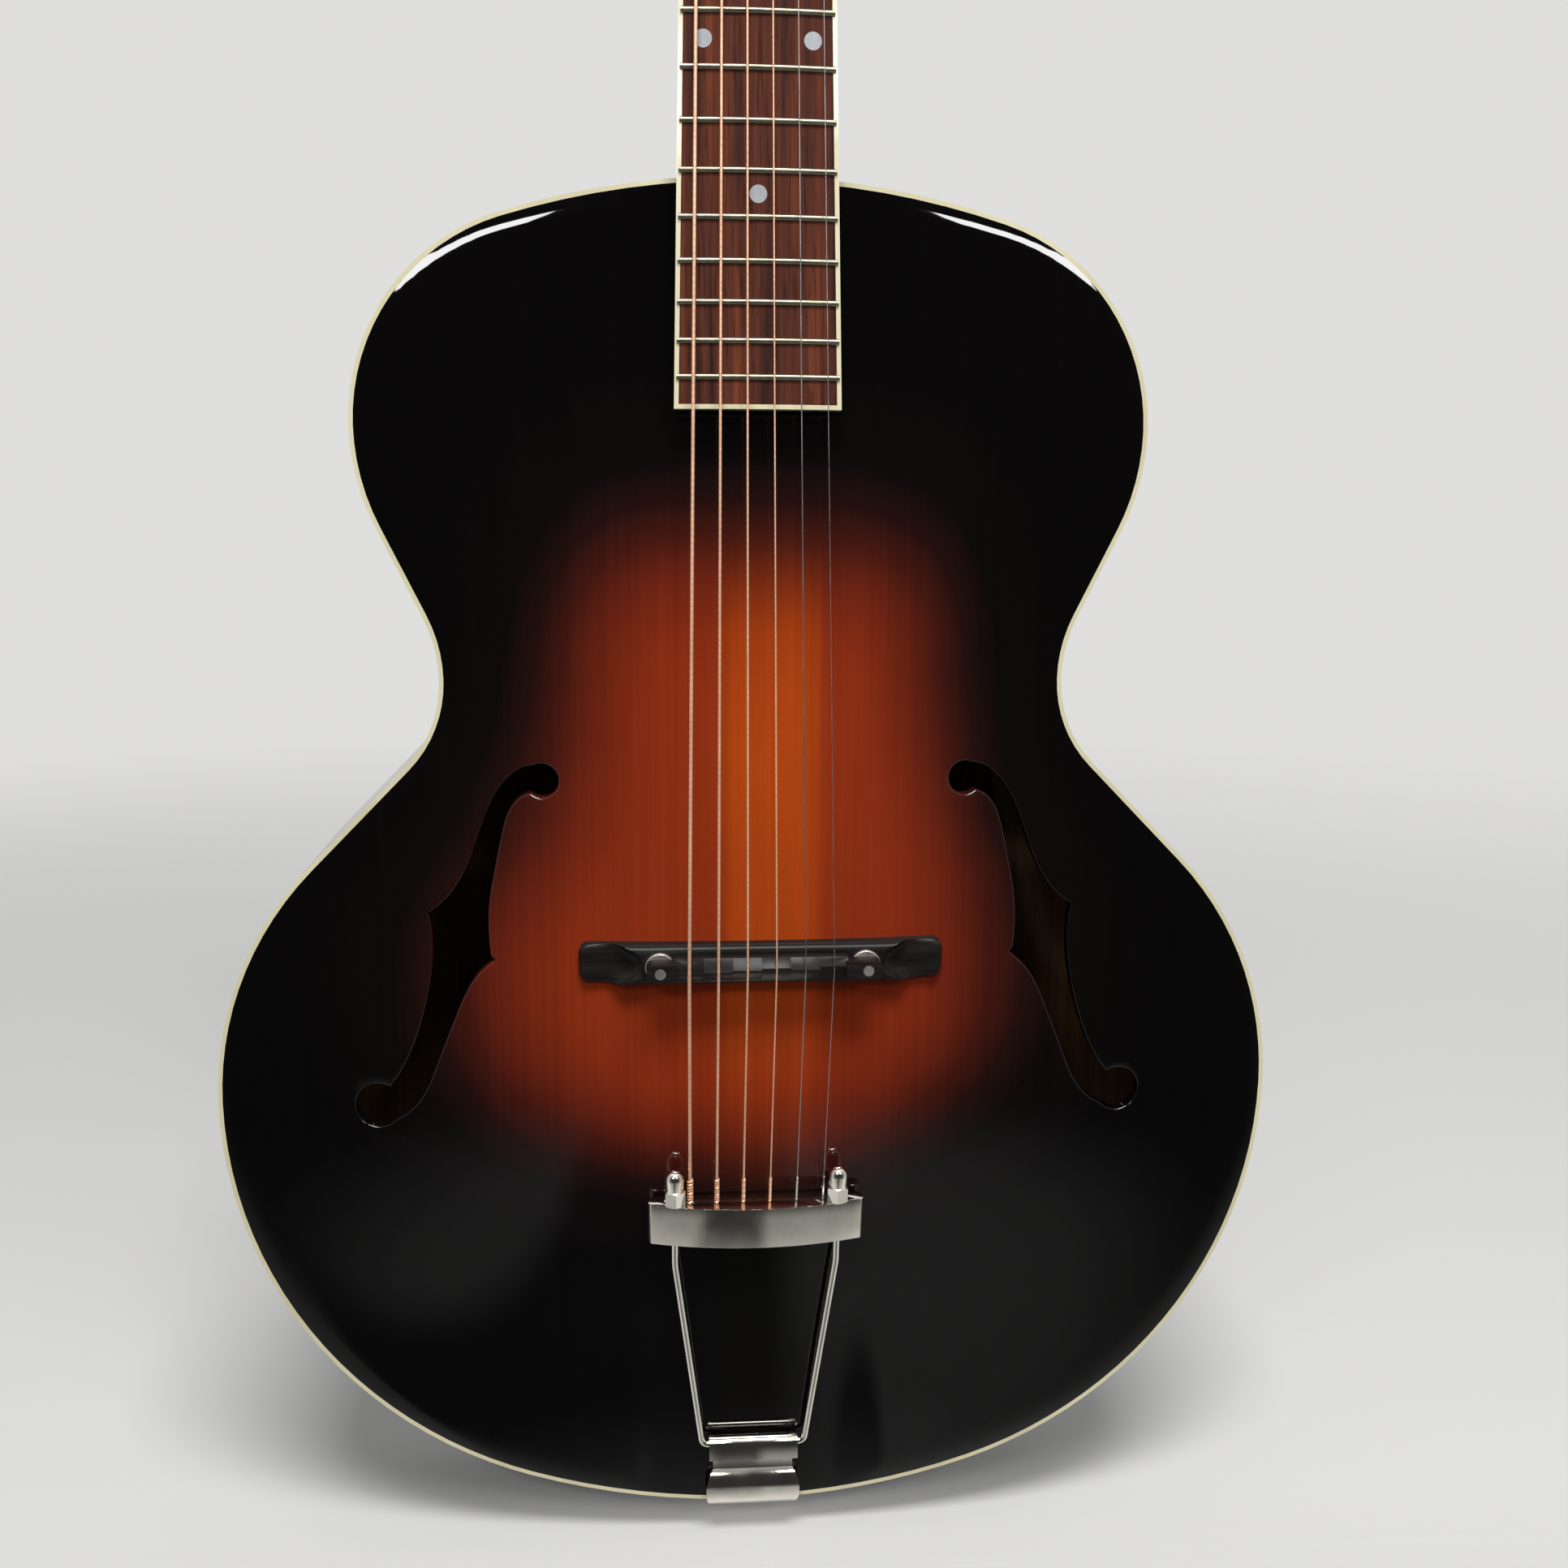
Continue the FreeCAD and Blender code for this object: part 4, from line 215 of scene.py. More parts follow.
def amber_stripe(tree):
    """Where a lighter amber stripe shows down the middle of the top, fading in at its upper end and thinning to
    faint towards the tail, from 0 to 1.
    """
    spot = add(tree, "SeparateXYZ", {0: place(tree)}).outputs
    drift = grain(tree, (25, 25, 6), detail=2.0)
    wander = span(tree, drift, 0, 1, -STRIPE_WANDER * MM, STRIPE_WANDER * MM, False)
    middle = calc(tree, "ADD", calc(tree, "SUBTRACT", spot["X"], STRIPE_MIDDLE * MM), wander)
    inner, outer = (half * MM for half in STRIPE_HALF)
    across = span(tree, calc(tree, "ABSOLUTE", middle), inner, outer, 1.0, 0.0)
    top = span(tree, spot["Z"], *(z * MM for z in STRIPE_TOP))
    foot = span(tree, spot["Z"], *(z * MM for z in STRIPE_FOOT), STRIPE_FAINT, 1.0)
    return calc(tree, "MULTIPLY", across, calc(tree, "MULTIPLY", top, foot))


def sunburst():
    made, tree, shader = finish(
        "sunburst_lacquer", Roughness=0.5, Coat_Weight=1.0, Coat_Roughness=0.03, Specular_IOR_Level=0.0
    )
    spray = span(tree, grain(tree, (14, 14, 14), detail=2.0), 0, 1, -0.05, 0.05, False)
    field = calc(tree, "ADD", burst_field(tree, BURST_ROUNDS, BURST_JOIN), spray)
    stops = [(at / BURST_REACH, srgb(*colour)) for at, colour in BURST_COLOURS]
    colour = ramp(tree, calc(tree, "DIVIDE", field, BURST_REACH), stops)
    lines = grain(tree, (620, 40, 5), detail=3.0)
    bands = grain(tree, (90, 20, 2.5), detail=2.0)
    growth = span(tree, lines, 0.25, 0.75, 0.88, 1.10, False)
    shade = calc(tree, "ADD", growth, span(tree, bands, 0.3, 0.7, -0.06, 0.06, False))
    colour = mixed(tree, 1.0, colour, shade, "MULTIPLY")
    colour = mixed(tree, amber_stripe(tree), colour, mixed(tree, 1.0, colour, STRIPE_TINT, "MULTIPLY"))
    inner = ramp(tree, lines, ((0.3, (0.07, 0.032, 0.014)), (0.7, (0.12, 0.06, 0.027))))
    inside = span(tree, facing(tree), 0.15, 0.4)
    put(tree, shader.inputs["Base Color"], mixed(tree, inside, colour, inner))
    lacquer_coat(tree, shader)
    return made


BACK_ROUNDS = (((0.0, -505.0), (84.0, 122.0), 2.4), ((0.0, -670.0), (128.0, 122.0), 2.0))
BACK_JOIN = 4.0
BACK_REACH = 1.5
BACK_COLOURS = (
    (0.00, (142, 58, 20)),
    (0.35, (118, 40, 16)),
    (0.60, (70, 22, 13)),
    (0.78, (30, 12, 9)),
    (0.95, (10, 7, 6)),
)


def flamed(name, rounds):
    made, tree, shader = finish(
        name, Roughness=0.5, Coat_Weight=1.0, Coat_Roughness=0.04, Specular_IOR_Level=0.0
    )
    lines = grain(tree, (260, 260, 4), detail=3.0)
    flame = grain(tree, (9, 9, 105), detail=2.0, distortion=0.6)
    curl = span(tree, flame, 0.3, 0.7, 0.62, 1.2, False)
    shade = calc(tree, "ADD", curl, span(tree, lines, 0.3, 0.7, -0.12, 0.12, False))
    if rounds:
        field = calc(tree, "DIVIDE", burst_field(tree, rounds, BACK_JOIN), BACK_REACH)
        colour = ramp(tree, field, [(at, srgb(*colour)) for at, colour in BACK_COLOURS])
    else:
        colour = ramp(tree, lines, ((0.3, srgb(20, 9, 7)), (0.7, srgb(38, 15, 9))))
    colour = mixed(tree, 1.0, colour, shade, "MULTIPLY")
    put(tree, shader.inputs["Base Color"], colour)
    lacquer_coat(tree, shader)
    return made, tree, shader, colour


def flamed_back():
    made, tree, shader, colour = flamed("flamed_back", BACK_ROUNDS)
    lines = grain(tree, (300, 40, 5), detail=3.0)
    inner = ramp(tree, lines, ((0.3, (0.08, 0.038, 0.017)), (0.7, (0.13, 0.068, 0.032))))
    inside = span(tree, facing(tree), -0.15, -0.4)
    put(tree, shader.inputs["Base Color"], mixed(tree, inside, colour, inner))
    return made


def dark_lacquer():
    return flamed("dark_lacquer", None)[0]


# Other finishes


def wood(name, dark, light, factors, roughness, coat=0.0, pores=0.25, gloss=0.5):
    made, tree, shader = finish(
        name, Roughness=roughness, Coat_Weight=coat, Coat_Roughness=0.2, Specular_IOR_Level=gloss
    )
    lines = grain(tree, factors, detail=5.0, rough=0.62)
    put(tree, shader.inputs["Base Color"], ramp(tree, lines, ((0.32, dark), (0.68, light))))
    fine = grain(tree, [factor * 3 for factor in factors], detail=2.0)
    put(tree, shader.inputs["Normal"], bumped(tree, fine, pores, 0.0002))
    return made


def rosewood():
    made, tree, shader = finish("rosewood", Roughness=0.6, Specular_IOR_Level=0.06)
    streaks = grain(tree, (210, 60, 4.5), detail=5.0, rough=0.6, distortion=0.3)
    pores = grain(tree, (1500, 300, 45), detail=2.0)
    stops = (
        (0.28, srgb(32, 18, 16)),
        (0.42, srgb(56, 30, 24)),
        (0.56, srgb(80, 40, 27)),
        (0.72, srgb(108, 54, 30)),
    )
    colour = ramp(tree, streaks, stops)
    dark = span(tree, pores, 0.34, 0.46, 0.55, 1.0)
    put(tree, shader.inputs["Base Color"], mixed(tree, 1.0, colour, dark, "MULTIPLY"))
    put(tree, shader.inputs["Normal"], bumped(tree, pores, 0.3, 0.0001))
    return made


def metal(name, colour, roughness, spread=0.05, scratch=(900, 900, 40)):
    made, tree, shader = finish(name, Metallic=1.0)
    cloud = grain(tree, (120, 120, 120), detail=3.0)
    tone = [tuple(share * level for share in colour) for level in (0.86, 1.0)]
    put(tree, shader.inputs["Base Color"], ramp(tree, cloud, ((0.3, tone[0]), (0.7, tone[1]))))
    fine = grain(tree, scratch, detail=2.0)
    polish = span(tree, cloud, 0.3, 0.7, roughness - spread, roughness + spread, False)
    put(tree, shader.inputs["Roughness"], polish)
    put(tree, shader.inputs["Normal"], bumped(tree, fine, 0.06, 0.0001))
    return made


WINDING_SCALE = 130.0


def wound_metal(name, colour):
    made, tree, shader = finish(name, Metallic=0.6, Roughness=0.4)
    bands = add(tree, "TexWave", {"Vector": place(tree), "Scale": WINDING_SCALE, "Distortion": 0.0})
    bands.bands_direction = "Z"
    cloud = grain(tree, (300, 300, 90), detail=2.0)
    tone = ramp(tree, cloud, ((0.3, tuple(share * 0.8 for share in colour)), (0.7, colour)))
    # Painted shade: the base colour darkens in the grooves between the windings, and the same bands also drive the
    # bump
    painted_groove_shade = span(tree, bands.outputs["Fac"], 0.0, 0.5, 0.88, 1.0)
    put(tree, shader.inputs["Base Color"], mixed(tree, 1.0, tone, painted_groove_shade, "MULTIPLY"))
    put(tree, shader.inputs["Normal"], bumped(tree, bands.outputs["Fac"], 0.2, 0.0001))
    return made


def plastic(name, dark, light, roughness, factors, coat=0.4):
    made, tree, shader = finish(name, Roughness=roughness, Coat_Weight=coat, Coat_Roughness=0.06)
    cloud = grain(tree, factors, detail=4.0)
    put(tree, shader.inputs["Base Color"], ramp(tree, cloud, ((0.3, dark), (0.7, light))))
    fine = grain(tree, (700, 700, 700), detail=1.0)
    put(tree, shader.inputs["Normal"], bumped(tree, fine, 0.04, 0.0001))
    return made


def pearl():
    made, tree, shader = finish("pearl", Roughness=0.2, Coat_Weight=0.8, Coat_Roughness=0.05)
    flow = grain(tree, (420, 420, 420), detail=4.0, distortion=1.5)
    stops = (
        (0.25, srgb(122, 126, 134)),
        (0.45, srgb(152, 152, 155)),
        (0.60, srgb(138, 144, 150)),
        (0.75, srgb(164, 161, 160)),
    )
    put(tree, shader.inputs["Base Color"], ramp(tree, flow, stops))
    return made


FINISHES = {
    "sunburst_top": sunburst(),
    "dark_lacquer": dark_lacquer(),
    "raw_wood": wood("raw_wood", (0.10, 0.052, 0.024), (0.17, 0.095, 0.045), (240, 240, 8), 0.7),
    "ivory_binding": plastic("ivory", srgb(184, 176, 143), srgb(199, 192, 161), 0.32, (40, 40, 12)),
    "black_plastic": plastic(
        "black_plastic", (0.006, 0.006, 0.006), (0.012, 0.012, 0.012), 0.25, (80, 80, 80)
    ),
    "steel": metal("steel", (0.52, 0.52, 0.52), 0.32),
    "brass": metal("brass", (0.72, 0.52, 0.24), 0.3),
    "rosewood": rosewood(),
    "nickel_silver": metal("nickel_silver", (0.25, 0.235, 0.17), 0.36),
    "pearl": pearl(),
    "bone": plastic("bone", srgb(214, 204, 176), srgb(232, 225, 203), 0.36, (160, 160, 30)),
    "black_veneer": wood(
        "black_veneer", (0.004, 0.004, 0.004), (0.009, 0.008, 0.008), (200, 60, 6), 0.4,
        coat=1.0, pores=0.05,
    ),
    "bronze_winding": wound_metal("bronze_winding", (0.90, 0.52, 0.34)),
    "plain_steel": metal("plain_steel", (0.56, 0.55, 0.55), 0.32),
    "ebony": wood(
        "ebony", (0.005, 0.0045, 0.004), (0.014, 0.012, 0.011), (30, 400, 400), 0.45,
        coat=0.10, pores=0.1, gloss=0.05,
    ),
    "nickel_plate": metal("nickel_plate", (0.92, 0.89, 0.80), 0.10, 0.03),
    "cream_button": plastic("cream_button", srgb(214, 200, 160), srgb(234, 222, 188), 0.3, (90, 90, 90)),
}
BACK_FINISH = flamed_back()
WORN_NICKEL = metal("worn_nickel", (0.84, 0.80, 0.73), 0.38, 0.08)

OWN_FINISHES = {"back_plate": BACK_FINISH, "bridge_posts": WORN_NICKEL}

slots = {row["node"]: row["material_slot"] for row in frame["record"]["subparts"]}
for node, thing in frame["nodes"].items():
    thing.data.materials.clear()
    thing.data.materials.append(OWN_FINISHES.get(node, FINISHES[slots[node]]))

# Mesh helpers

WELD = 2e-6


def new_piece(name, mesh, slot):
    made = bpy.data.objects.new(name, mesh)
    bpy.context.scene.collection.objects.link(made)
    mesh.materials.append(FINISHES[slot])
    return made


def between(ends, share):
    return ends[0] + (ends[1] - ends[0]) * share


def smooth_by_angle(mesh, degrees=35):
    mesh.shade_smooth()
    mesh.set_sharp_from_angle(angle=math.radians(degrees))


def ring_faces(count, sides):
    """Faces that join each ring of points to the next."""
    faces = []
    for low in range(0, (count - 1) * sides, sides):
        for step in range(sides):
            after = (step + 1) % sides
            faces.append((low + step, low + after, low + sides + after, low + sides + step))
    return faces


def swept(points, radius, sides):
    """Vertices and faces of a tube along points, closed at both ends, that doesn't twist."""
    points = [Vector(point) for point in points]
    count = len(points)
    along = (points[1] - points[0]).normalized()
    across = along.orthogonal().normalized()
    verts = []
    for index, point in enumerate(points):
        before = points[max(index - 1, 0)]
        after = points[min(index + 1, count - 1)]
        way = (after - before).normalized()
        across = (along.rotation_difference(way) @ across).normalized()
        along = way
        other = along.cross(across)
        for step in range(sides):
            angle = 2 * math.pi * step / sides
            verts.append(point + (across * math.cos(angle) + other * math.sin(angle)) * radius)
    faces = ring_faces(count, sides)
    faces.append(tuple(reversed(range(sides))))
    faces.append(tuple(range((count - 1) * sides, count * sides)))
    return verts, faces


def turned(rings):
    """Vertices and faces of rings of points, each joined to the next."""
    verts = [point for ring in rings for point in ring]
    return verts, ring_faces(len(rings), len(rings[0]))


def mesh_of(name, parts):
    mesh = bpy.data.meshes.new(name)
    verts, faces = [], []
    for more_verts, more_faces in parts:
        start = len(verts)
        verts += [tuple(Vector(vert) * MM) for vert in more_verts]
        faces += [tuple(start + index for index in face) for face in more_faces]
    mesh.from_pydata(verts, [], faces)
    mesh.validate()
    mesh.update()
    shape = bmesh.new()
    shape.from_mesh(mesh)
    bmesh.ops.recalc_face_normals(shape, faces=shape.faces)
    shape.to_mesh(mesh)
    shape.free()
    smooth_by_angle(mesh)
    return mesh


# Places that the strings, neck, bridge and tailpiece share, in millimetres

SCALE_LENGTH = 628.65
BODY_FRET = 14
BOARD_RISE = 37.283
BOARD_RADIUS = 305.0
BOARD_THICKNESS = 6.0
BRIDGE_EXTRA = 2.6
BAR_TOP = 109.69
NECK_TURN = Matrix.Rotation(-math.asin(BOARD_RISE / SCALE_LENGTH), 4, "X")
NECK_LENGTH = SCALE_LENGTH * (1 - 2 ** (-BODY_FRET / 12))
BRIDGE_Z = (NECK_TURN @ Vector((0.0, 0.0, -SCALE_LENGTH - BRIDGE_EXTRA))).z
JOINT_SPOTS = {joint["name"]: Vector(joint["pos_m"]) / MM for joint in frame["joints"] if "pos_m" in joint}
PIN = JOINT_SPOTS["tailpiece_swing"]

# Strings: the played length runs from the saddle over the nut to its post, and the tail end rides on the tailpiece

STRING_NAMES = "654321"
STRING_GAUGES = (1.32, 1.07, 0.81, 0.61, 0.43, 0.33)
STRING_EXTRAS = (3.8, 3.2, 2.6, 1.8, 2.6, 1.6)
WOUND_FROM = 0.5
NUT_SPREAD = 36.0
NUT_SLOT = 1.4
NUT_LENGTH = 5.0
SADDLE_SPREAD = 53.0
SADDLE_SHIFT = 1.0
STRING_HEIGHT = 4.9
TAIL_SPREAD = 50.4
BALL_SINK = 3.55
BALL_RADIUS = 2.0
BALL_HALF = 1.8
TWIST_START = 3.7
TWIST_LENGTH = 10.0
HEAD_ANGLE = 14.0
HEAD_BASE = NECK_TURN @ Vector((0.0, 5.0, 5.6))
HEAD_TURN = NECK_TURN @ Matrix.Rotation(math.radians(-HEAD_ANGLE), 4, "X")
POST_ACROSS = 20.0
POST_FIRST = 40.0
POST_STEP = 41.0
WIND_RADIUS = 3.3
WIND_GAP = 0.5
WIND_HEIGHT = 7.6
WIND_TURNS = 2.25
WIND_STEPS = 28


def spread_out(index, width):
    return (index / (len(STRING_NAMES) - 1) - 0.5) * width


def nut_spot(index):
    x = spread_out(index, NUT_SPREAD)
    y = x ** 2 / (2 * BOARD_RADIUS) - NUT_SLOT - STRING_GAUGES[index] / 2
    return NECK_TURN @ Vector((x, y, 0.0))


def saddle_spot(index):
    x = spread_out(index, SADDLE_SPREAD)
    y = x ** 2 / (2 * BOARD_RADIUS) - STRING_HEIGHT - STRING_GAUGES[index] / 2
    return NECK_TURN @ Vector((x + SADDLE_SHIFT, y, -SCALE_LENGTH - STRING_EXTRAS[index]))


SADDLE_CROWN = min(saddle_spot(index).y for index in range(len(STRING_NAMES)))
TRAPEZE_TURN = Matrix.Rotation(math.atan2(PIN.y - SADDLE_CROWN, BRIDGE_Z - PIN.z), 4, "X")


def ball_spot(index):
    return PIN + TRAPEZE_TURN @ Vector((spread_out(index, TAIL_SPREAD), 0.0, BAR_TOP - BALL_SINK))


def post_spot(index):
    """The side of the headstock, -1 or 1, and the place on its face of a string's post."""
    last = len(STRING_NAMES) - 1
    side = -1 if index < last / 2 else 1
    return side, side * POST_ACROSS, POST_FIRST + POST_STEP * min(index, last - index)


def line_points(start, end, count):
    return [start.lerp(end, step / count) for step in range(count)]


def post_turns(index, nut_back):
    """Points of a string's turns on its post, from where it meets the post."""
    radius = STRING_GAUGES[index] / 2
    side, x, z = post_spot(index)
    wind = WIND_RADIUS + radius
    pitch = 2 * radius + WIND_GAP
    lead = HEAD_TURN.inverted() @ (nut_back - HEAD_BASE)
    flat = math.hypot(x - lead.x, z - lead.z)
    heading = math.atan2(z - lead.z, x - lead.x) + side * math.asin(wind / flat)
    points = []
    for step in range(int(WIND_TURNS * WIND_STEPS) + 1):
        turn = 2 * math.pi * step / WIND_STEPS
        bearing = heading + side * (math.pi / 2 - turn)
        height = WIND_HEIGHT - pitch * turn / (2 * math.pi)
        spot = Vector((x + wind * math.cos(bearing), -height, z + wind * math.sin(bearing)))
        points.append(HEAD_BASE + HEAD_TURN @ spot)
    return points


def coil(start, way, length, distance, turns):
    across = way.orthogonal().normalized()
    other = way.cross(across)
    points = []
    steps = int(turns * 14)
    for step in range(steps + 1):
        angle = 2 * math.pi * turns * step / steps
        centre = start + way * (length * step / steps)
        points.append(centre + (across * math.cos(angle) + other * math.sin(angle)) * distance)
    return points


def ball_end(centre):
    profile = ((0.75, -1.0), (0.95, -1.0), (1.0, -0.85), (1.0, -0.5), (0.78, -0.3), (0.78, 0.3), (1.0, 0.5),
               (1.0, 0.85), (0.95, 1.0), (0.75, 1.0), (0.45, 1.0), (0.45, -1.0), (0.75, -1.0))
    rings = []
    for share, across in profile:
        ring = []
        for step in range(24):
            angle = 2 * math.pi * step / 24
            ring.append(centre + Vector((
                across * BALL_HALF,
                share * BALL_RADIUS * math.cos(angle),
                share * BALL_RADIUS * math.sin(angle),
            )))
        rings.append(ring)
    return turned(rings)


def make_string(index):
    name = "string_" + STRING_NAMES[index]
    radius = STRING_GAUGES[index] / 2
    wound = STRING_GAUGES[index] > WOUND_FROM
    slot = "bronze_winding" if wound else "plain_steel"
    sides = 12 if wound else 8
    ball = ball_spot(index)
    saddle = saddle_spot(index)
    nut = nut_spot(index)
    nut_back = nut + NECK_TURN @ Vector((0.0, 0.0, NUT_LENGTH))
    turns = post_turns(index, nut_back)
    points = line_points(saddle, nut, 64) + line_points(nut, nut_back, 4)
    points += line_points(nut_back, turns[0], 24) + turns
    mesh = mesh_of(name + "_played", [swept(points, radius, sides)])
    main = new_piece(name + "_played", mesh, slot)
    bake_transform(main)
    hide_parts(name)

    way = (saddle - ball).normalized()
    run = line_points(ball + way * BALL_RADIUS * 0.6, saddle, 20) + [saddle]
    wrap = max(radius * 0.55, 0.17)
    turn_count = TWIST_LENGTH / (wrap * 3.4)
    twist = coil(ball + way * TWIST_START, way, TWIST_LENGTH, radius + wrap * 0.7, turn_count)
    parts = [swept(run, radius, sides), swept(twist, wrap, 6), ball_end(ball)]
    end = new_piece(name + "_tail", mesh_of(name + "_tail", parts), slot)
    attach(end, "tailpiece")


for string in range(len(STRING_NAMES)):
    make_string(string)

# Knurled thumbwheels

WHEEL_THICK = 2.4
WHEEL_RADIUS = 5.5
WHEEL_BORE = 2.06
WHEEL_CHAMFER = 0.4
KNURLS = 44
KNURL_DEPTH = 0.28


def make_wheel(name):
    middle = JOINT_SPOTS[name + "_turn"]
    profile = (
        (WHEEL_BORE, 0.0, 0.0),
        (WHEEL_RADIUS - WHEEL_CHAMFER, 0.0, 0.0),
        (WHEEL_RADIUS, WHEEL_CHAMFER, KNURL_DEPTH),
        (WHEEL_RADIUS, WHEEL_THICK - WHEEL_CHAMFER, KNURL_DEPTH),
        (WHEEL_RADIUS - WHEEL_CHAMFER, WHEEL_THICK, 0.0),
        (WHEEL_BORE, WHEEL_THICK, 0.0),
        (WHEEL_BORE, 0.0, 0.0),
    )
    rings = []
    for radius, height, knurl in profile:
        ring = []
        for step in range(KNURLS * 4):
            angle = 2 * math.pi * step / (KNURLS * 4)
            here = radius - (knurl if step % 4 in (2, 3) else 0.0)
            ring.append(middle + Vector((here * math.cos(angle), -height, here * math.sin(angle))))
        rings.append(ring)
    mesh = mesh_of(name + "_knurled", [turned(rings)])
    made = new_piece(name + "_knurled", mesh, "nickel_plate")
    mesh.materials[0] = WORN_NICKEL
    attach(made, name)
    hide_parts(name)


make_wheel("thumbwheel_bass")
make_wheel("thumbwheel_treble")

# Domed nuts on the trapeze wire

ACORN_SPREAD = 31.0
ACORN_ACROSS = 7.6
ACORN_HEX = 6.2
ACORN_DOME = 8.0
ACORN_TURN = 24.0
ACORN_SIDES = 72
DOME_STEPS = 12


def acorn_levels(turn):
    """Rings of (bearing, distance from the axis, height) up a six-sided nut with a dome on it."""
    flat = ACORN_ACROSS / 2
    bevel = flat * 0.94
    neck = ACORN_ACROSS * 0.47
    outer = []
    for step in range(ACORN_SIDES):
        angle = 2 * math.pi * step / ACORN_SIDES
        off_middle = (angle + math.pi / 6) % (math.pi / 3) - math.pi / 6
        outer.append((angle + turn + math.pi / 6, flat / math.cos(off_middle)))
    levels = [
        [(angle, flat * 0.3, 0.0) for angle, far in outer],
        [(angle, bevel, 0.0) for angle, far in outer],
        [(angle, far, (far - bevel) * 0.5) for angle, far in outer],
        [(angle, far, ACORN_HEX - (far - bevel) * 0.6) for angle, far in outer],
        [(angle, bevel, ACORN_HEX) for angle, far in outer],
        [(angle, neck * 0.97, ACORN_HEX + 0.1) for angle, far in outer],
        [(angle, neck * 0.97, ACORN_HEX + 0.5) for angle, far in outer],
        [(angle, neck, ACORN_HEX + 0.8) for angle, far in outer],
    ]
    lift = ACORN_HEX + ACORN_DOME - neck
    for step in range(DOME_STEPS + 1):
        tilt = math.pi / 2 * step / DOME_STEPS
        reach = max(neck * math.cos(tilt), 0.02)
        levels.append([(angle, reach, lift + neck * math.sin(tilt)) for angle, far in outer])
    return levels


def make_acorns():
    parts = []
    for side in (-1, 1):
        rings = []
        for level in acorn_levels(math.radians(side * ACORN_TURN)):
            ring = []
            for angle, far, height in level:
                x = side * ACORN_SPREAD + far * math.cos(angle)
                spot = Vector((x, far * math.sin(angle), BAR_TOP + height))
                ring.append(PIN + TRAPEZE_TURN @ spot)
            rings.append(ring)
        parts.append(turned(rings))
    made = new_piece("acorn_nuts_domed", mesh_of("acorn_nuts_domed", parts), "nickel_plate")
    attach(made, "tailpiece")
    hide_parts("acorn_nuts")


make_acorns()

# Solids with their edges rounded over

SOFT_EDGES = (
    ("tailpiece_bar", "tailpiece", 0.45),
    ("tailpiece_bracket", "guitar", 0.25),
    ("bridge_saddle", "saddle", 0.35),
)
FLAT_ANGLE = math.radians(0.8)
EDGE_ANGLE = math.radians(28)


def soften(node, body, width):
    shape = bmesh.new()
    shape.from_mesh(frame["nodes"][node].data)
    bmesh.ops.remove_doubles(shape, verts=shape.verts, dist=WELD)
    bmesh.ops.dissolve_limit(shape, angle_limit=FLAT_ANGLE, verts=shape.verts, edges=shape.edges)
    sharp = [edge for edge in shape.edges if edge.is_manifold and edge.calc_face_angle(0) > EDGE_ANGLE]
    bmesh.ops.bevel(
        shape, geom=sharp, offset=width * MM, offset_type="OFFSET", segments=3, profile=0.5, affect="EDGES",
        clamp_overlap=True,
    )
    mesh = bpy.data.meshes.new(node + "_rounded")
    shape.to_mesh(mesh)
    shape.free()
    smooth_by_angle(mesh, 40)
    made = new_piece(node + "_rounded", mesh, slots[node])
    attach(made, body)
    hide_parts(node)


for row in SOFT_EDGES:
    soften(*row)

# Neck: the solid's own mesh, with its back drawn to one even curve from the shaft into the heel

NECK_WIDTHS = (44.5, 56.58)
NECK_DEPTHS = (15.0, 18.5)
HEEL_LENGTH = 58.0
HEEL_RUN_IN = 30.0
HEEL_FULL = 97.9
FAIR_SHARE = 0.6
FACES_BACK = 0.05


def neck_depth(distance):
    share = max(1 - (NECK_LENGTH - distance) / HEEL_LENGTH, 0.0)
    shaft = between(NECK_DEPTHS, distance / NECK_LENGTH)
    return shaft + (HEEL_FULL - shaft) * share ** 3 * (4 - 3 * share)


def make_neck():
    mesh = frame["nodes"]["neck"].data.copy()
    mesh.name = "neck_carved"
    mesh.materials.clear()
    normals = [tuple(corner.vector) for corner in mesh.corner_normals]
    heel_start = NECK_LENGTH - HEEL_LENGTH
    drawn = set()
    for vert in mesh.vertices:
        spot = NECK_TURN.inverted() @ (vert.co / MM)
        on_back = vert.normal.y > FACES_BACK and spot.y > BOARD_THICKNESS
        if on_back and heel_start - HEEL_RUN_IN < -spot.z < heel_start + FAIR_SHARE * HEEL_LENGTH:
            half = between(NECK_WIDTHS, -spot.z / NECK_LENGTH) / 2
            across = min(abs(spot.x) / half, 1.0)
            spot.y = BOARD_THICKNESS + neck_depth(-spot.z) * math.sqrt(1 - across ** 2)
            vert.co = NECK_TURN @ spot * MM
            drawn.add(vert.index)
    for loop in mesh.loops:
        if loop.vertex_index in drawn:
            normals[loop.index] = (0.0, 0.0, 0.0)
    mesh.normals_split_custom_set(normals)
    made = new_piece("neck_carved", mesh, slots["neck"])
    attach(made, "guitar")
    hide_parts("neck")


make_neck()

# Bridge base: the solid's own height, with spoon-shaped wings and rounded edges

BASE_MIDDLE = (2.0, BRIDGE_Z)
BASE_HALF = (68.0, 7.6)
BASE_CORNER = 4.0
BASE_STEP = 1.0
BASE_ACROSS = 40
BASE_PROFILE_Z = 5.0
BASE_INSET = 0.05
BASE_LEAST = 0.5
SPOON = 9.0
SPOON_POWER = 2.5
ROUND_TIP, ROUND_DECK = 2.2, 3.4
ROUND_RUN = (58.0, 44.0)


def base_half_width(far):
    past = max(far - (BASE_HALF[0] - BASE_CORNER), 0.0)
    return BASE_HALF[1] - BASE_CORNER + math.sqrt(max(BASE_CORNER ** 2 - past ** 2, 0.0))


def rounded_off(inset, radius):
    """How far a rounded edge lies below the face it ends, at an inset from the side."""
    share = min(max(1 - inset / radius, 0.0), 1.0)
    return radius * (1 - math.sqrt(1 - share ** 2))


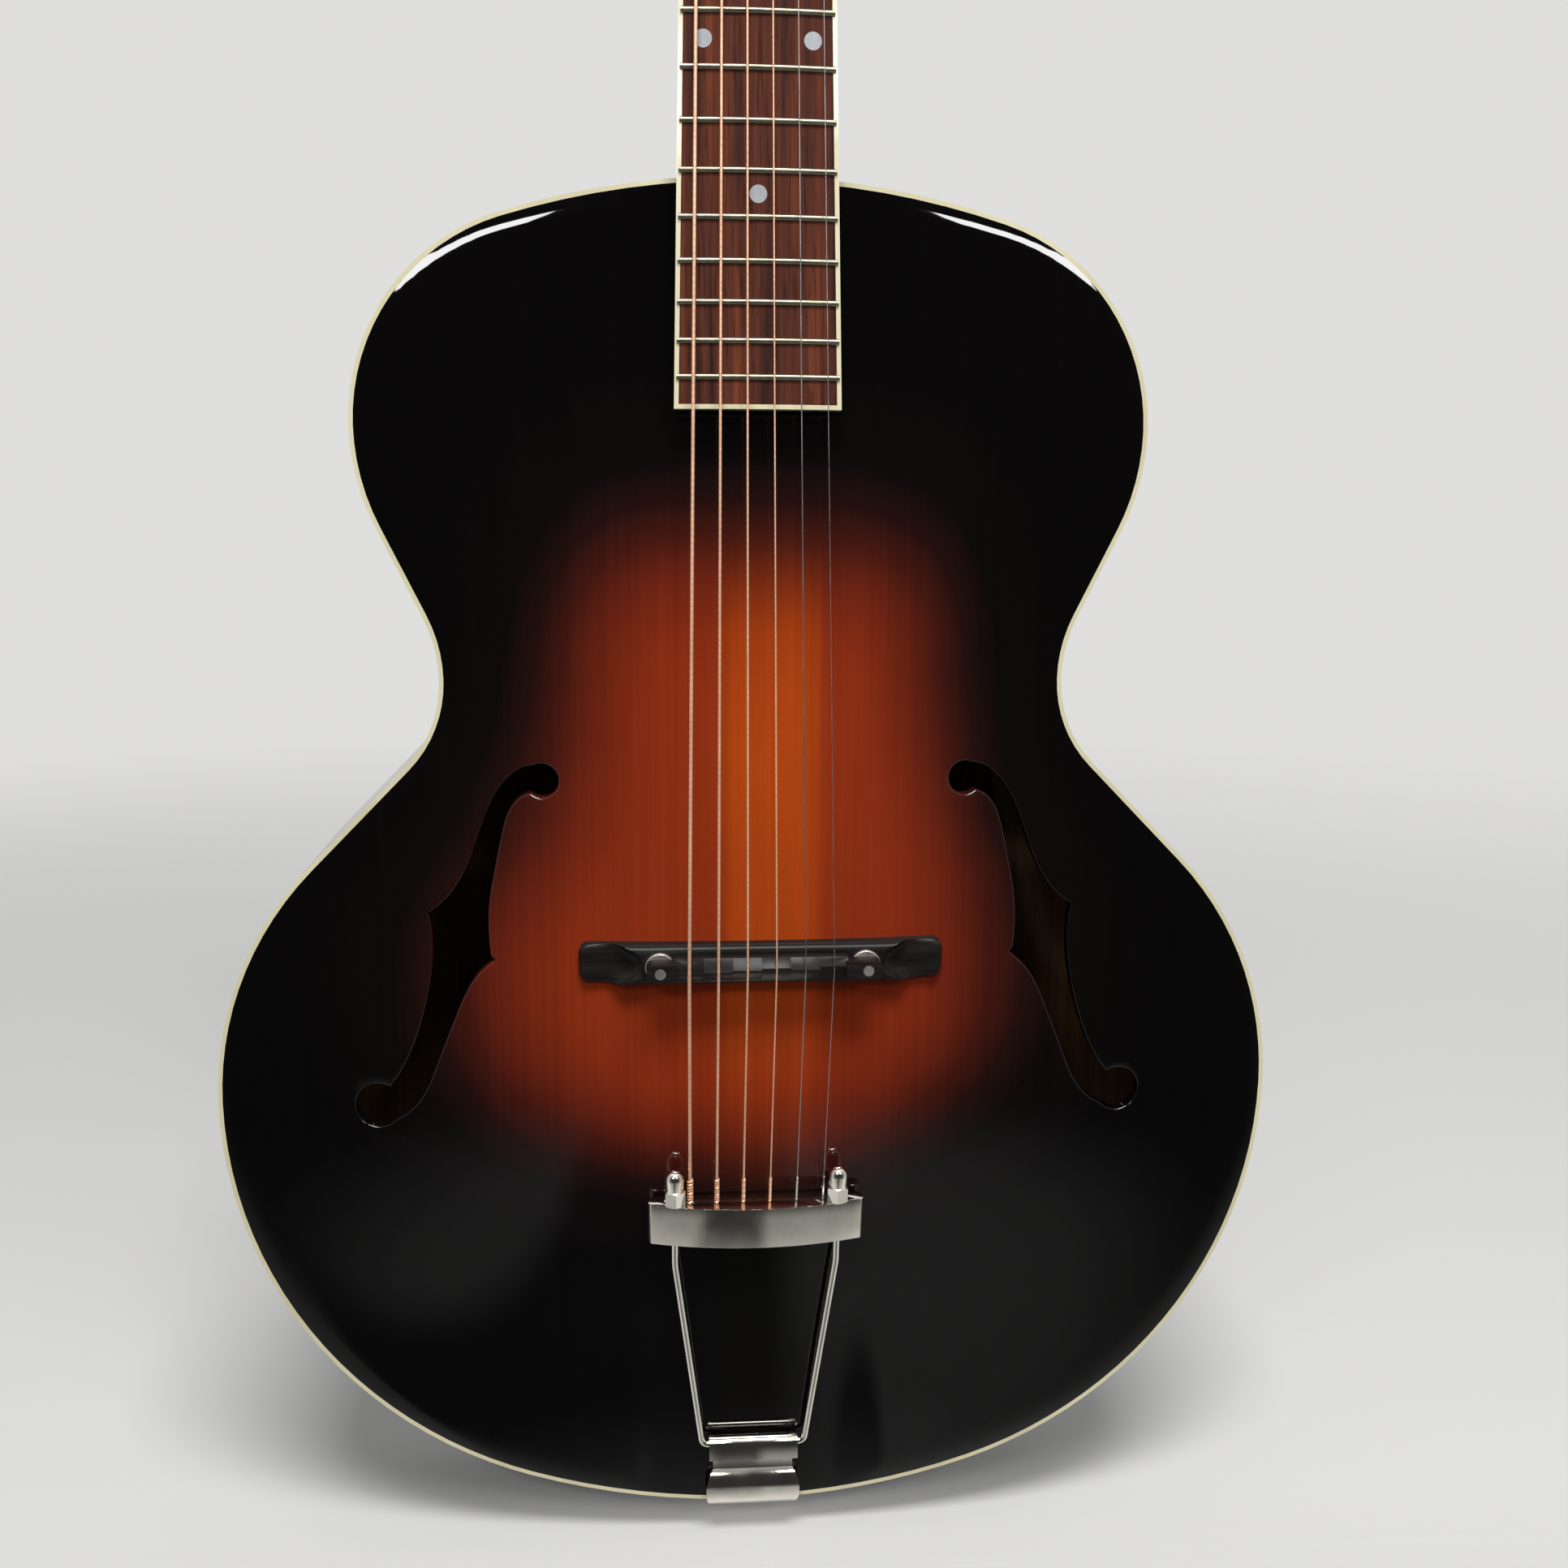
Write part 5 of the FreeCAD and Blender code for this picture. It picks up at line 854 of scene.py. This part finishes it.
def make_base():
    data = frame["nodes"]["bridge_base"].data
    corners = [vert.co for vert in data.vertices]
    solid = BVHTree.FromPolygons(corners, [face.vertices for face in data.polygons])

    def height(x, z, way):
        spot = Vector((BASE_MIDDLE[0] + x, -way * 100.0, BASE_MIDDLE[1] + z)) * MM
        return solid.ray_cast(spot, Vector((0.0, way, 0.0)))[0].y / MM

    reach = BASE_HALF[0]
    stations = np.arange(-reach, reach + BASE_STEP / 2, BASE_STEP)
    out_from_middle = stations[stations >= 0]
    profile = []
    for far in out_from_middle:
        z = BASE_PROFILE_Z if far < reach - BASE_CORNER else 0.0
        profile.append(height(min(far, reach - BASE_INSET), z, 1.0))
    rings = []
    for x in stations:
        far = abs(x)
        half = base_half_width(far)
        share = (far - ROUND_RUN[1]) / (ROUND_RUN[0] - ROUND_RUN[1])
        radius = between((ROUND_DECK, ROUND_TIP), min(max(share, 0.0), 1.0))
        top, bottom = [], []
        for step in range(BASE_ACROSS + 1):
            z = half * math.sin(math.pi * (step / BASE_ACROSS - 0.5))
            along = max(far - SPOON * abs(z / BASE_HALF[1]) ** SPOON_POWER, 0.0)
            inset = min(half - abs(z), reach - far)
            y = np.interp(along, out_from_middle, profile) + rounded_off(inset, radius)
            inner_x = min(max(x, BASE_INSET - reach), reach - BASE_INSET)
            inner_z = min(max(z, BASE_INSET - half), half - BASE_INSET)
            low = height(inner_x, inner_z, -1.0)
            top.append((BASE_MIDDLE[0] + x, min(y, low - BASE_LEAST), BASE_MIDDLE[1] + z))
            bottom.append((BASE_MIDDLE[0] + x, low, BASE_MIDDLE[1] + z))
        rings.append(top + bottom[::-1])
    verts, faces = turned(rings)
    sides = len(rings[0])
    faces += [tuple(range(sides)), tuple(range(len(verts) - sides, len(verts)))]
    mesh = mesh_of("bridge_base_scooped", [(verts, faces)])
    made = new_piece("bridge_base_scooped", mesh, slots["bridge_base"])
    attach(made, "guitar")
    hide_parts("bridge_base")


make_base()

# Carved plates: the solid's own outline and holes under a finer, evenly curved skin with a rolled edge

PLATE_GRID = 4.0
PLATE_DEPTH = 5.0
OUTLINE_STEP = 3.0
HOLE_STEP = 1.2
HOLE_ROUND = 0.8
HOLE_RINGS = (0.08, 0.3, 0.62, 1.0)
ROLL_RINGS = (1.2, 2.5, 3.9, 5.5, 7.4)
ARCH_MARGIN = 8.4
ARCH_TOP, ARCH_TAIL = -358.0, -850.6
ARCH_RISE_TOP, ARCH_RISE_TAIL = 205.0, 175.0
ARCH_FULLNESS = 1.2
ROLL_LIFT = 0.9
ROLL_WIDTH = 8.0
ROLL_CLEAR = (32.0, 56.0)
NECK_CUT = 20.0


def plate_loops(node, outward):
    """The loops of (x, z) points round a plate's outward face in mm, its outline first."""
    shape = bmesh.new()
    shape.from_mesh(frame["nodes"][node].data)
    bmesh.ops.remove_doubles(shape, verts=shape.verts, dist=WELD)
    shape.edges.index_update()
    skin = {face for face in shape.faces if face.normal.y * outward > 0.5}
    rim = [edge for edge in shape.edges if sum(face in skin for face in edge.link_faces) == 1]
    edges = {edge.index: edge for edge in rim}
    loops = []
    while edges:
        first, here = edges.popitem()[1].verts
        loop = [(here.co.x / MM, here.co.z / MM)]
        while here is not first:
            edge = next(other for other in here.link_edges if other.index in edges)
            del edges[edge.index]
            here = edge.other_vert(here)
            loop.append((here.co.x / MM, here.co.z / MM))
        loops.append(np.array(loop))
    shape.free()
    return sorted(loops, key=lambda loop: -np.ptp(loop[:, 0]))


def filled_in(loop, step):
    points = []
    for start, end in zip(loop, np.roll(loop, -1, axis=0)):
        count = max(1, math.ceil(math.dist(start, end) / step))
        points += [start + (end - start) * index / count for index in range(count)]
    return np.array(points)


def turned_left(loop):
    """Unit vectors across a loop, to the inside of the loop."""
    along = np.roll(loop, -1, axis=0) - np.roll(loop, 1, axis=0)
    along /= np.linalg.norm(along, axis=1)[:, None]
    after = np.roll(loop, -1, axis=0)
    area = np.sum(loop[:, 0] * after[:, 1] - after[:, 0] * loop[:, 1])
    return np.stack((-along[:, 1], along[:, 0]), axis=1) * np.sign(area)


def within(point, loop):
    after = np.roll(loop, -1, axis=0)
    crosses = (loop[:, 1] > point[1]) != (after[:, 1] > point[1])
    start, end = loop[crosses], after[crosses]
    at = start[:, 0] + (point[1] - start[:, 1]) / (end[:, 1] - start[:, 1]) * (end[:, 0] - start[:, 0])
    return np.count_nonzero(at > point[0]) % 2 == 1


def rise(share):
    return 0.5 - 0.5 * np.cos(np.pi * np.clip(share, 0, 1))


def near_points(points):
    tree = KDTree(len(points))
    for index, point in enumerate(points):
        tree.insert((point[0], 0.0, point[1]), index)
    tree.balance()
    return tree


def arch_of(points, outline):
    inner = outline + turned_left(outline) * ARCH_MARGIN
    inner = inner[(outline[:, 0] > NECK_CUT)]
    inner = inner[np.argsort(inner[:, 1])]
    width = np.interp(points[:, 1], inner[:, 1], inner[:, 0])
    across = rise(1 - np.clip(np.abs(points[:, 0]) / width, 0, 1) ** ARCH_FULLNESS)
    top = rise((ARCH_TOP - points[:, 1]) / ARCH_RISE_TOP)
    return across * top * rise((points[:, 1] - ARCH_TAIL) / ARCH_RISE_TAIL)


def plate_points(outline, holes):
    """Points of a plate's skin, how far each is sunk by a hole's rounded rim, and the edges to keep."""
    points, sunk, edges = [], [], []
    for loop in (outline, *holes):
        start = len(points)
        count = len(loop)
        edges += [(start + index, start + (index + 1) % count) for index in range(count)]
        points += list(loop)
        sunk += [0.0 if loop is outline else HOLE_ROUND] * count
    for loop in holes:
        for share in HOLE_RINGS:
            points += list(loop - turned_left(loop) * HOLE_ROUND * share)
            sunk += [HOLE_ROUND * (1 - math.sqrt(1 - (1 - share) ** 2))] * len(loop)
    edge = near_points(outline)
    for far in ROLL_RINGS:
        for point in outline + turned_left(outline) * far:
            if edge.find((point[0], 0.0, point[1]))[2] > far * 0.9 and within(point, outline):
                points.append(point)
                sunk.append(0.0)
    taken = near_points(points)
    low, high = outline.min(axis=0), outline.max(axis=0)
    for row, z in enumerate(np.arange(low[1], high[1], PLATE_GRID * math.sqrt(0.75))):
        for x in np.arange(low[0] + PLATE_GRID / 2 * (row % 2), high[0], PLATE_GRID):
            if taken.find((x, 0.0, z))[2] > PLATE_GRID * 0.55 and within((x, z), outline):
                points.append(np.array((x, z)))
                sunk.append(0.0)
    return points, sunk, edges


def make_plate(node, outward, paint):
    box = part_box(node)
    faces_y = [box[0][1] / MM, box[1][1] / MM]
    inner_rim, crown = faces_y if outward > 0 else faces_y[::-1]
    rim = inner_rim + outward * PLATE_DEPTH
    arch = abs(crown - rim)
    loops = plate_loops(node, outward)
    outline = filled_in(loops[0], OUTLINE_STEP)
    holes = [filled_in(loop, HOLE_STEP) for loop in loops[1:]]
    points, sunk, edges = plate_points(outline, holes)
    spots = [Vector(point) for point in points]
    flat, _, triangles, origins, _, _ = delaunay_2d_cdt(spots, edges, [], 1, 1e-4)
    flat = np.array([tuple(point) for point in flat])
    sunk = np.array([max((sunk[index] for index in origin), default=0.0) for origin in origins])
    middles = [(flat[list(corners)].mean(axis=0), corners) for corners in triangles]
    triangles = [corners for middle, corners in middles if not any(within(middle, hole) for hole in holes)]
    used = sorted({corner for corners in triangles for corner in corners})
    place_of = {corner: index for index, corner in enumerate(used)}
    triangles = [tuple(place_of[corner] for corner in corners) for corners in triangles]
    flat, sunk = flat[used], sunk[used]

    share = arch_of(flat, outline)
    edge = near_points(filled_in(outline[np.abs(outline[:, 0]) > NECK_CUT], 1.0))
    apart = np.array([edge.find((x, 0.0, z))[2] for x, z in flat])
    roll = 1 - (1 - np.clip(apart / ROLL_WIDTH, 0, 1)) ** 2
    clear = rise((np.abs(flat[:, 0]) - ROLL_CLEAR[0]) / (ROLL_CLEAR[1] - ROLL_CLEAR[0]))
    lift = ROLL_LIFT * roll * clear * (1 - share) ** 2
    outer_y = rim + outward * (arch * share + lift - sunk)
    inner_y = inner_rim + outward * arch * share
    count = len(flat)
    verts = [(x, y, z) for (x, z), y in zip(flat, outer_y)]
    verts += [(x, y, z) for (x, z), y in zip(flat, inner_y)]
    faces = triangles + [tuple(count + corner for corner in reversed(corners)) for corners in triangles]
    sides = [(corners[step], corners[(step + 1) % 3]) for corners in triangles for step in range(3)]
    open_sides = set(sides) - {(end, start) for start, end in sides}
    faces += [(start, count + start, count + end, end) for start, end in open_sides]
    mesh = mesh_of(node + "_carved", [(verts, faces)])
    made = new_piece(node + "_carved", mesh, slots[node])
    mesh.materials[0] = paint
    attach(made, "guitar")
    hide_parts(node)


make_plate("top_plate", -1, FINISHES["sunburst_top"])
make_plate("back_plate", 1, BACK_FINISH)

# Stage, light and camera

FLOOR_REACH = 2.6
PALE = (0.74, 0.735, 0.73)


def make_floor():
    mesh = bpy.data.meshes.new("floor")
    shape = bmesh.new()
    bmesh.ops.create_circle(shape, cap_ends=True, segments=96, radius=FLOOR_REACH)
    shape.to_mesh(mesh)
    shape.free()
    made = bpy.data.objects.new("floor", mesh)
    made.location = (0.0, 0.0, cad_box[0][2])
    bpy.context.scene.collection.objects.link(made)
    paint = bpy.data.materials.new("floor")
    paint.use_nodes = True
    tree = paint.node_tree
    tree.nodes.clear()
    far = add(tree, "VectorMath", {0: place(tree)}, operation="LENGTH").outputs["Value"]
    before = add(tree, "SeparateXYZ", {0: place(tree)}).outputs["Y"]
    seen = calc(tree, "MULTIPLY", span(tree, far, 0.55, 2.3, 1.0, 0.0), span(tree, before, -0.10, 0.05))
    diffuse = add(tree, "BsdfDiffuse", {"Color": (0.47, 0.467, 0.463, 1)})
    clear = add(tree, "BsdfTransparent")
    blend = add(tree, "MixShader", {0: seen, 1: clear.outputs[0], 2: diffuse.outputs[0]})
    output = add(tree, "OutputMaterial")
    tree.links.new(blend.outputs[0], output.inputs["Surface"])
    mesh.materials.append(paint)


def make_world():
    world = bpy.data.worlds.new("studio")
    bpy.context.scene.world = world
    world.use_nodes = True
    tree = world.node_tree
    tree.nodes.clear()
    path = add(tree, "LightPath").outputs
    way = add(tree, "SeparateXYZ", {0: add(tree, "TexCoord").outputs["Generated"]}).outputs
    # What gloss reflects: a dim room in front, paler behind and above, and a dark band low in front
    ahead = span(tree, way["Y"], -0.85, 0.1, 0.03, 0.62)
    above = span(tree, way["Z"], 0.45, 0.95, 0.0, 0.35)
    aside = span(tree, calc(tree, "ABSOLUTE", calc(tree, "ADD", way["X"], 0.05)), 0.11, 0.18, 0.01, 0.22)
    aside = calc(tree, "MAXIMUM", aside, span(tree, way["Y"], -0.1, 0.1, 0.01, 0.22))
    below = calc(tree, "MULTIPLY", span(tree, way["Z"], -0.36, -0.56), aside)
    shown = calc(tree, "ADD", calc(tree, "ADD", ahead, above), below)
    light = add(tree, "Background", {"Color": (0.98, 0.99, 1.0, 1), "Strength": 0.27})
    mirror = add(tree, "Background", {"Color": (1.0, 0.985, 0.96, 1), "Strength": shown})
    seen = add(tree, "Background", {"Color": (*PALE, 1), "Strength": 1.0})
    bright = calc(tree, "MAXIMUM", path["Is Glossy Ray"], path["Is Transmission Ray"])
    first = add(tree, "MixShader", {0: bright, 1: light.outputs[0], 2: mirror.outputs[0]})
    second = add(tree, "MixShader", {0: path["Is Camera Ray"], 1: first.outputs[0], 2: seen.outputs[0]})
    output = add(tree, "OutputWorld")
    tree.links.new(second.outputs[0], output.inputs["Surface"])


def make_light(name, spot, target, size, power):
    lamp = bpy.data.lights.new(name, "AREA")
    lamp.shape = "RECTANGLE"
    lamp.size, lamp.size_y = size
    lamp.energy = power
    made = bpy.data.objects.new(name, lamp)
    made.location = spot
    made.rotation_euler = (Vector(target) - Vector(spot)).to_track_quat("-Z", "Y").to_euler()
    made.visible_camera = False
    bpy.context.scene.collection.objects.link(made)


make_floor()
make_world()
make_light("left_box", (-0.45, -1.2, 0.10), (0.0, 0.0, -0.5), (0.5, 0.13), 4.5)
make_light("right_box", (0.60, -1.2, 0.14), (0.0, 0.0, -0.5), (0.5, 0.13), 4.5)
make_light("overhead", (0.10, -1.50, 2.12), (0.0, 0.0, -0.62), (1.6, 0.8), 136.0)
make_light("back", (0.6, 1.5, 0.3), (0.0, 0.1, -0.6), (2.0, 2.0), 12.0)

# The camera fitted to the photo: its place, its turn as an axis times an angle, and its focus in pixels
EYE = Vector((-0.04213, -0.64650, -0.45087))
AIM = Vector((-0.178923, 0.001185, -0.082758))
PHOTO_SIDE = 1932
PHOTO_FOCUS = 2127.88

lens = bpy.data.cameras.new("camera")
lens.sensor_width = 36.0
lens.lens = PHOTO_FOCUS / PHOTO_SIDE * lens.sensor_width
camera = bpy.data.objects.new("camera", lens)
upright = Matrix.Rotation(math.radians(90), 4, "X")
camera.matrix_world = Matrix.Translation(EYE) @ Matrix.Rotation(AIM.length, 4, AIM.normalized()) @ upright
bpy.context.scene.collection.objects.link(camera)
bpy.context.scene.camera = camera
bpy.context.scene.view_settings.view_transform = "Standard"
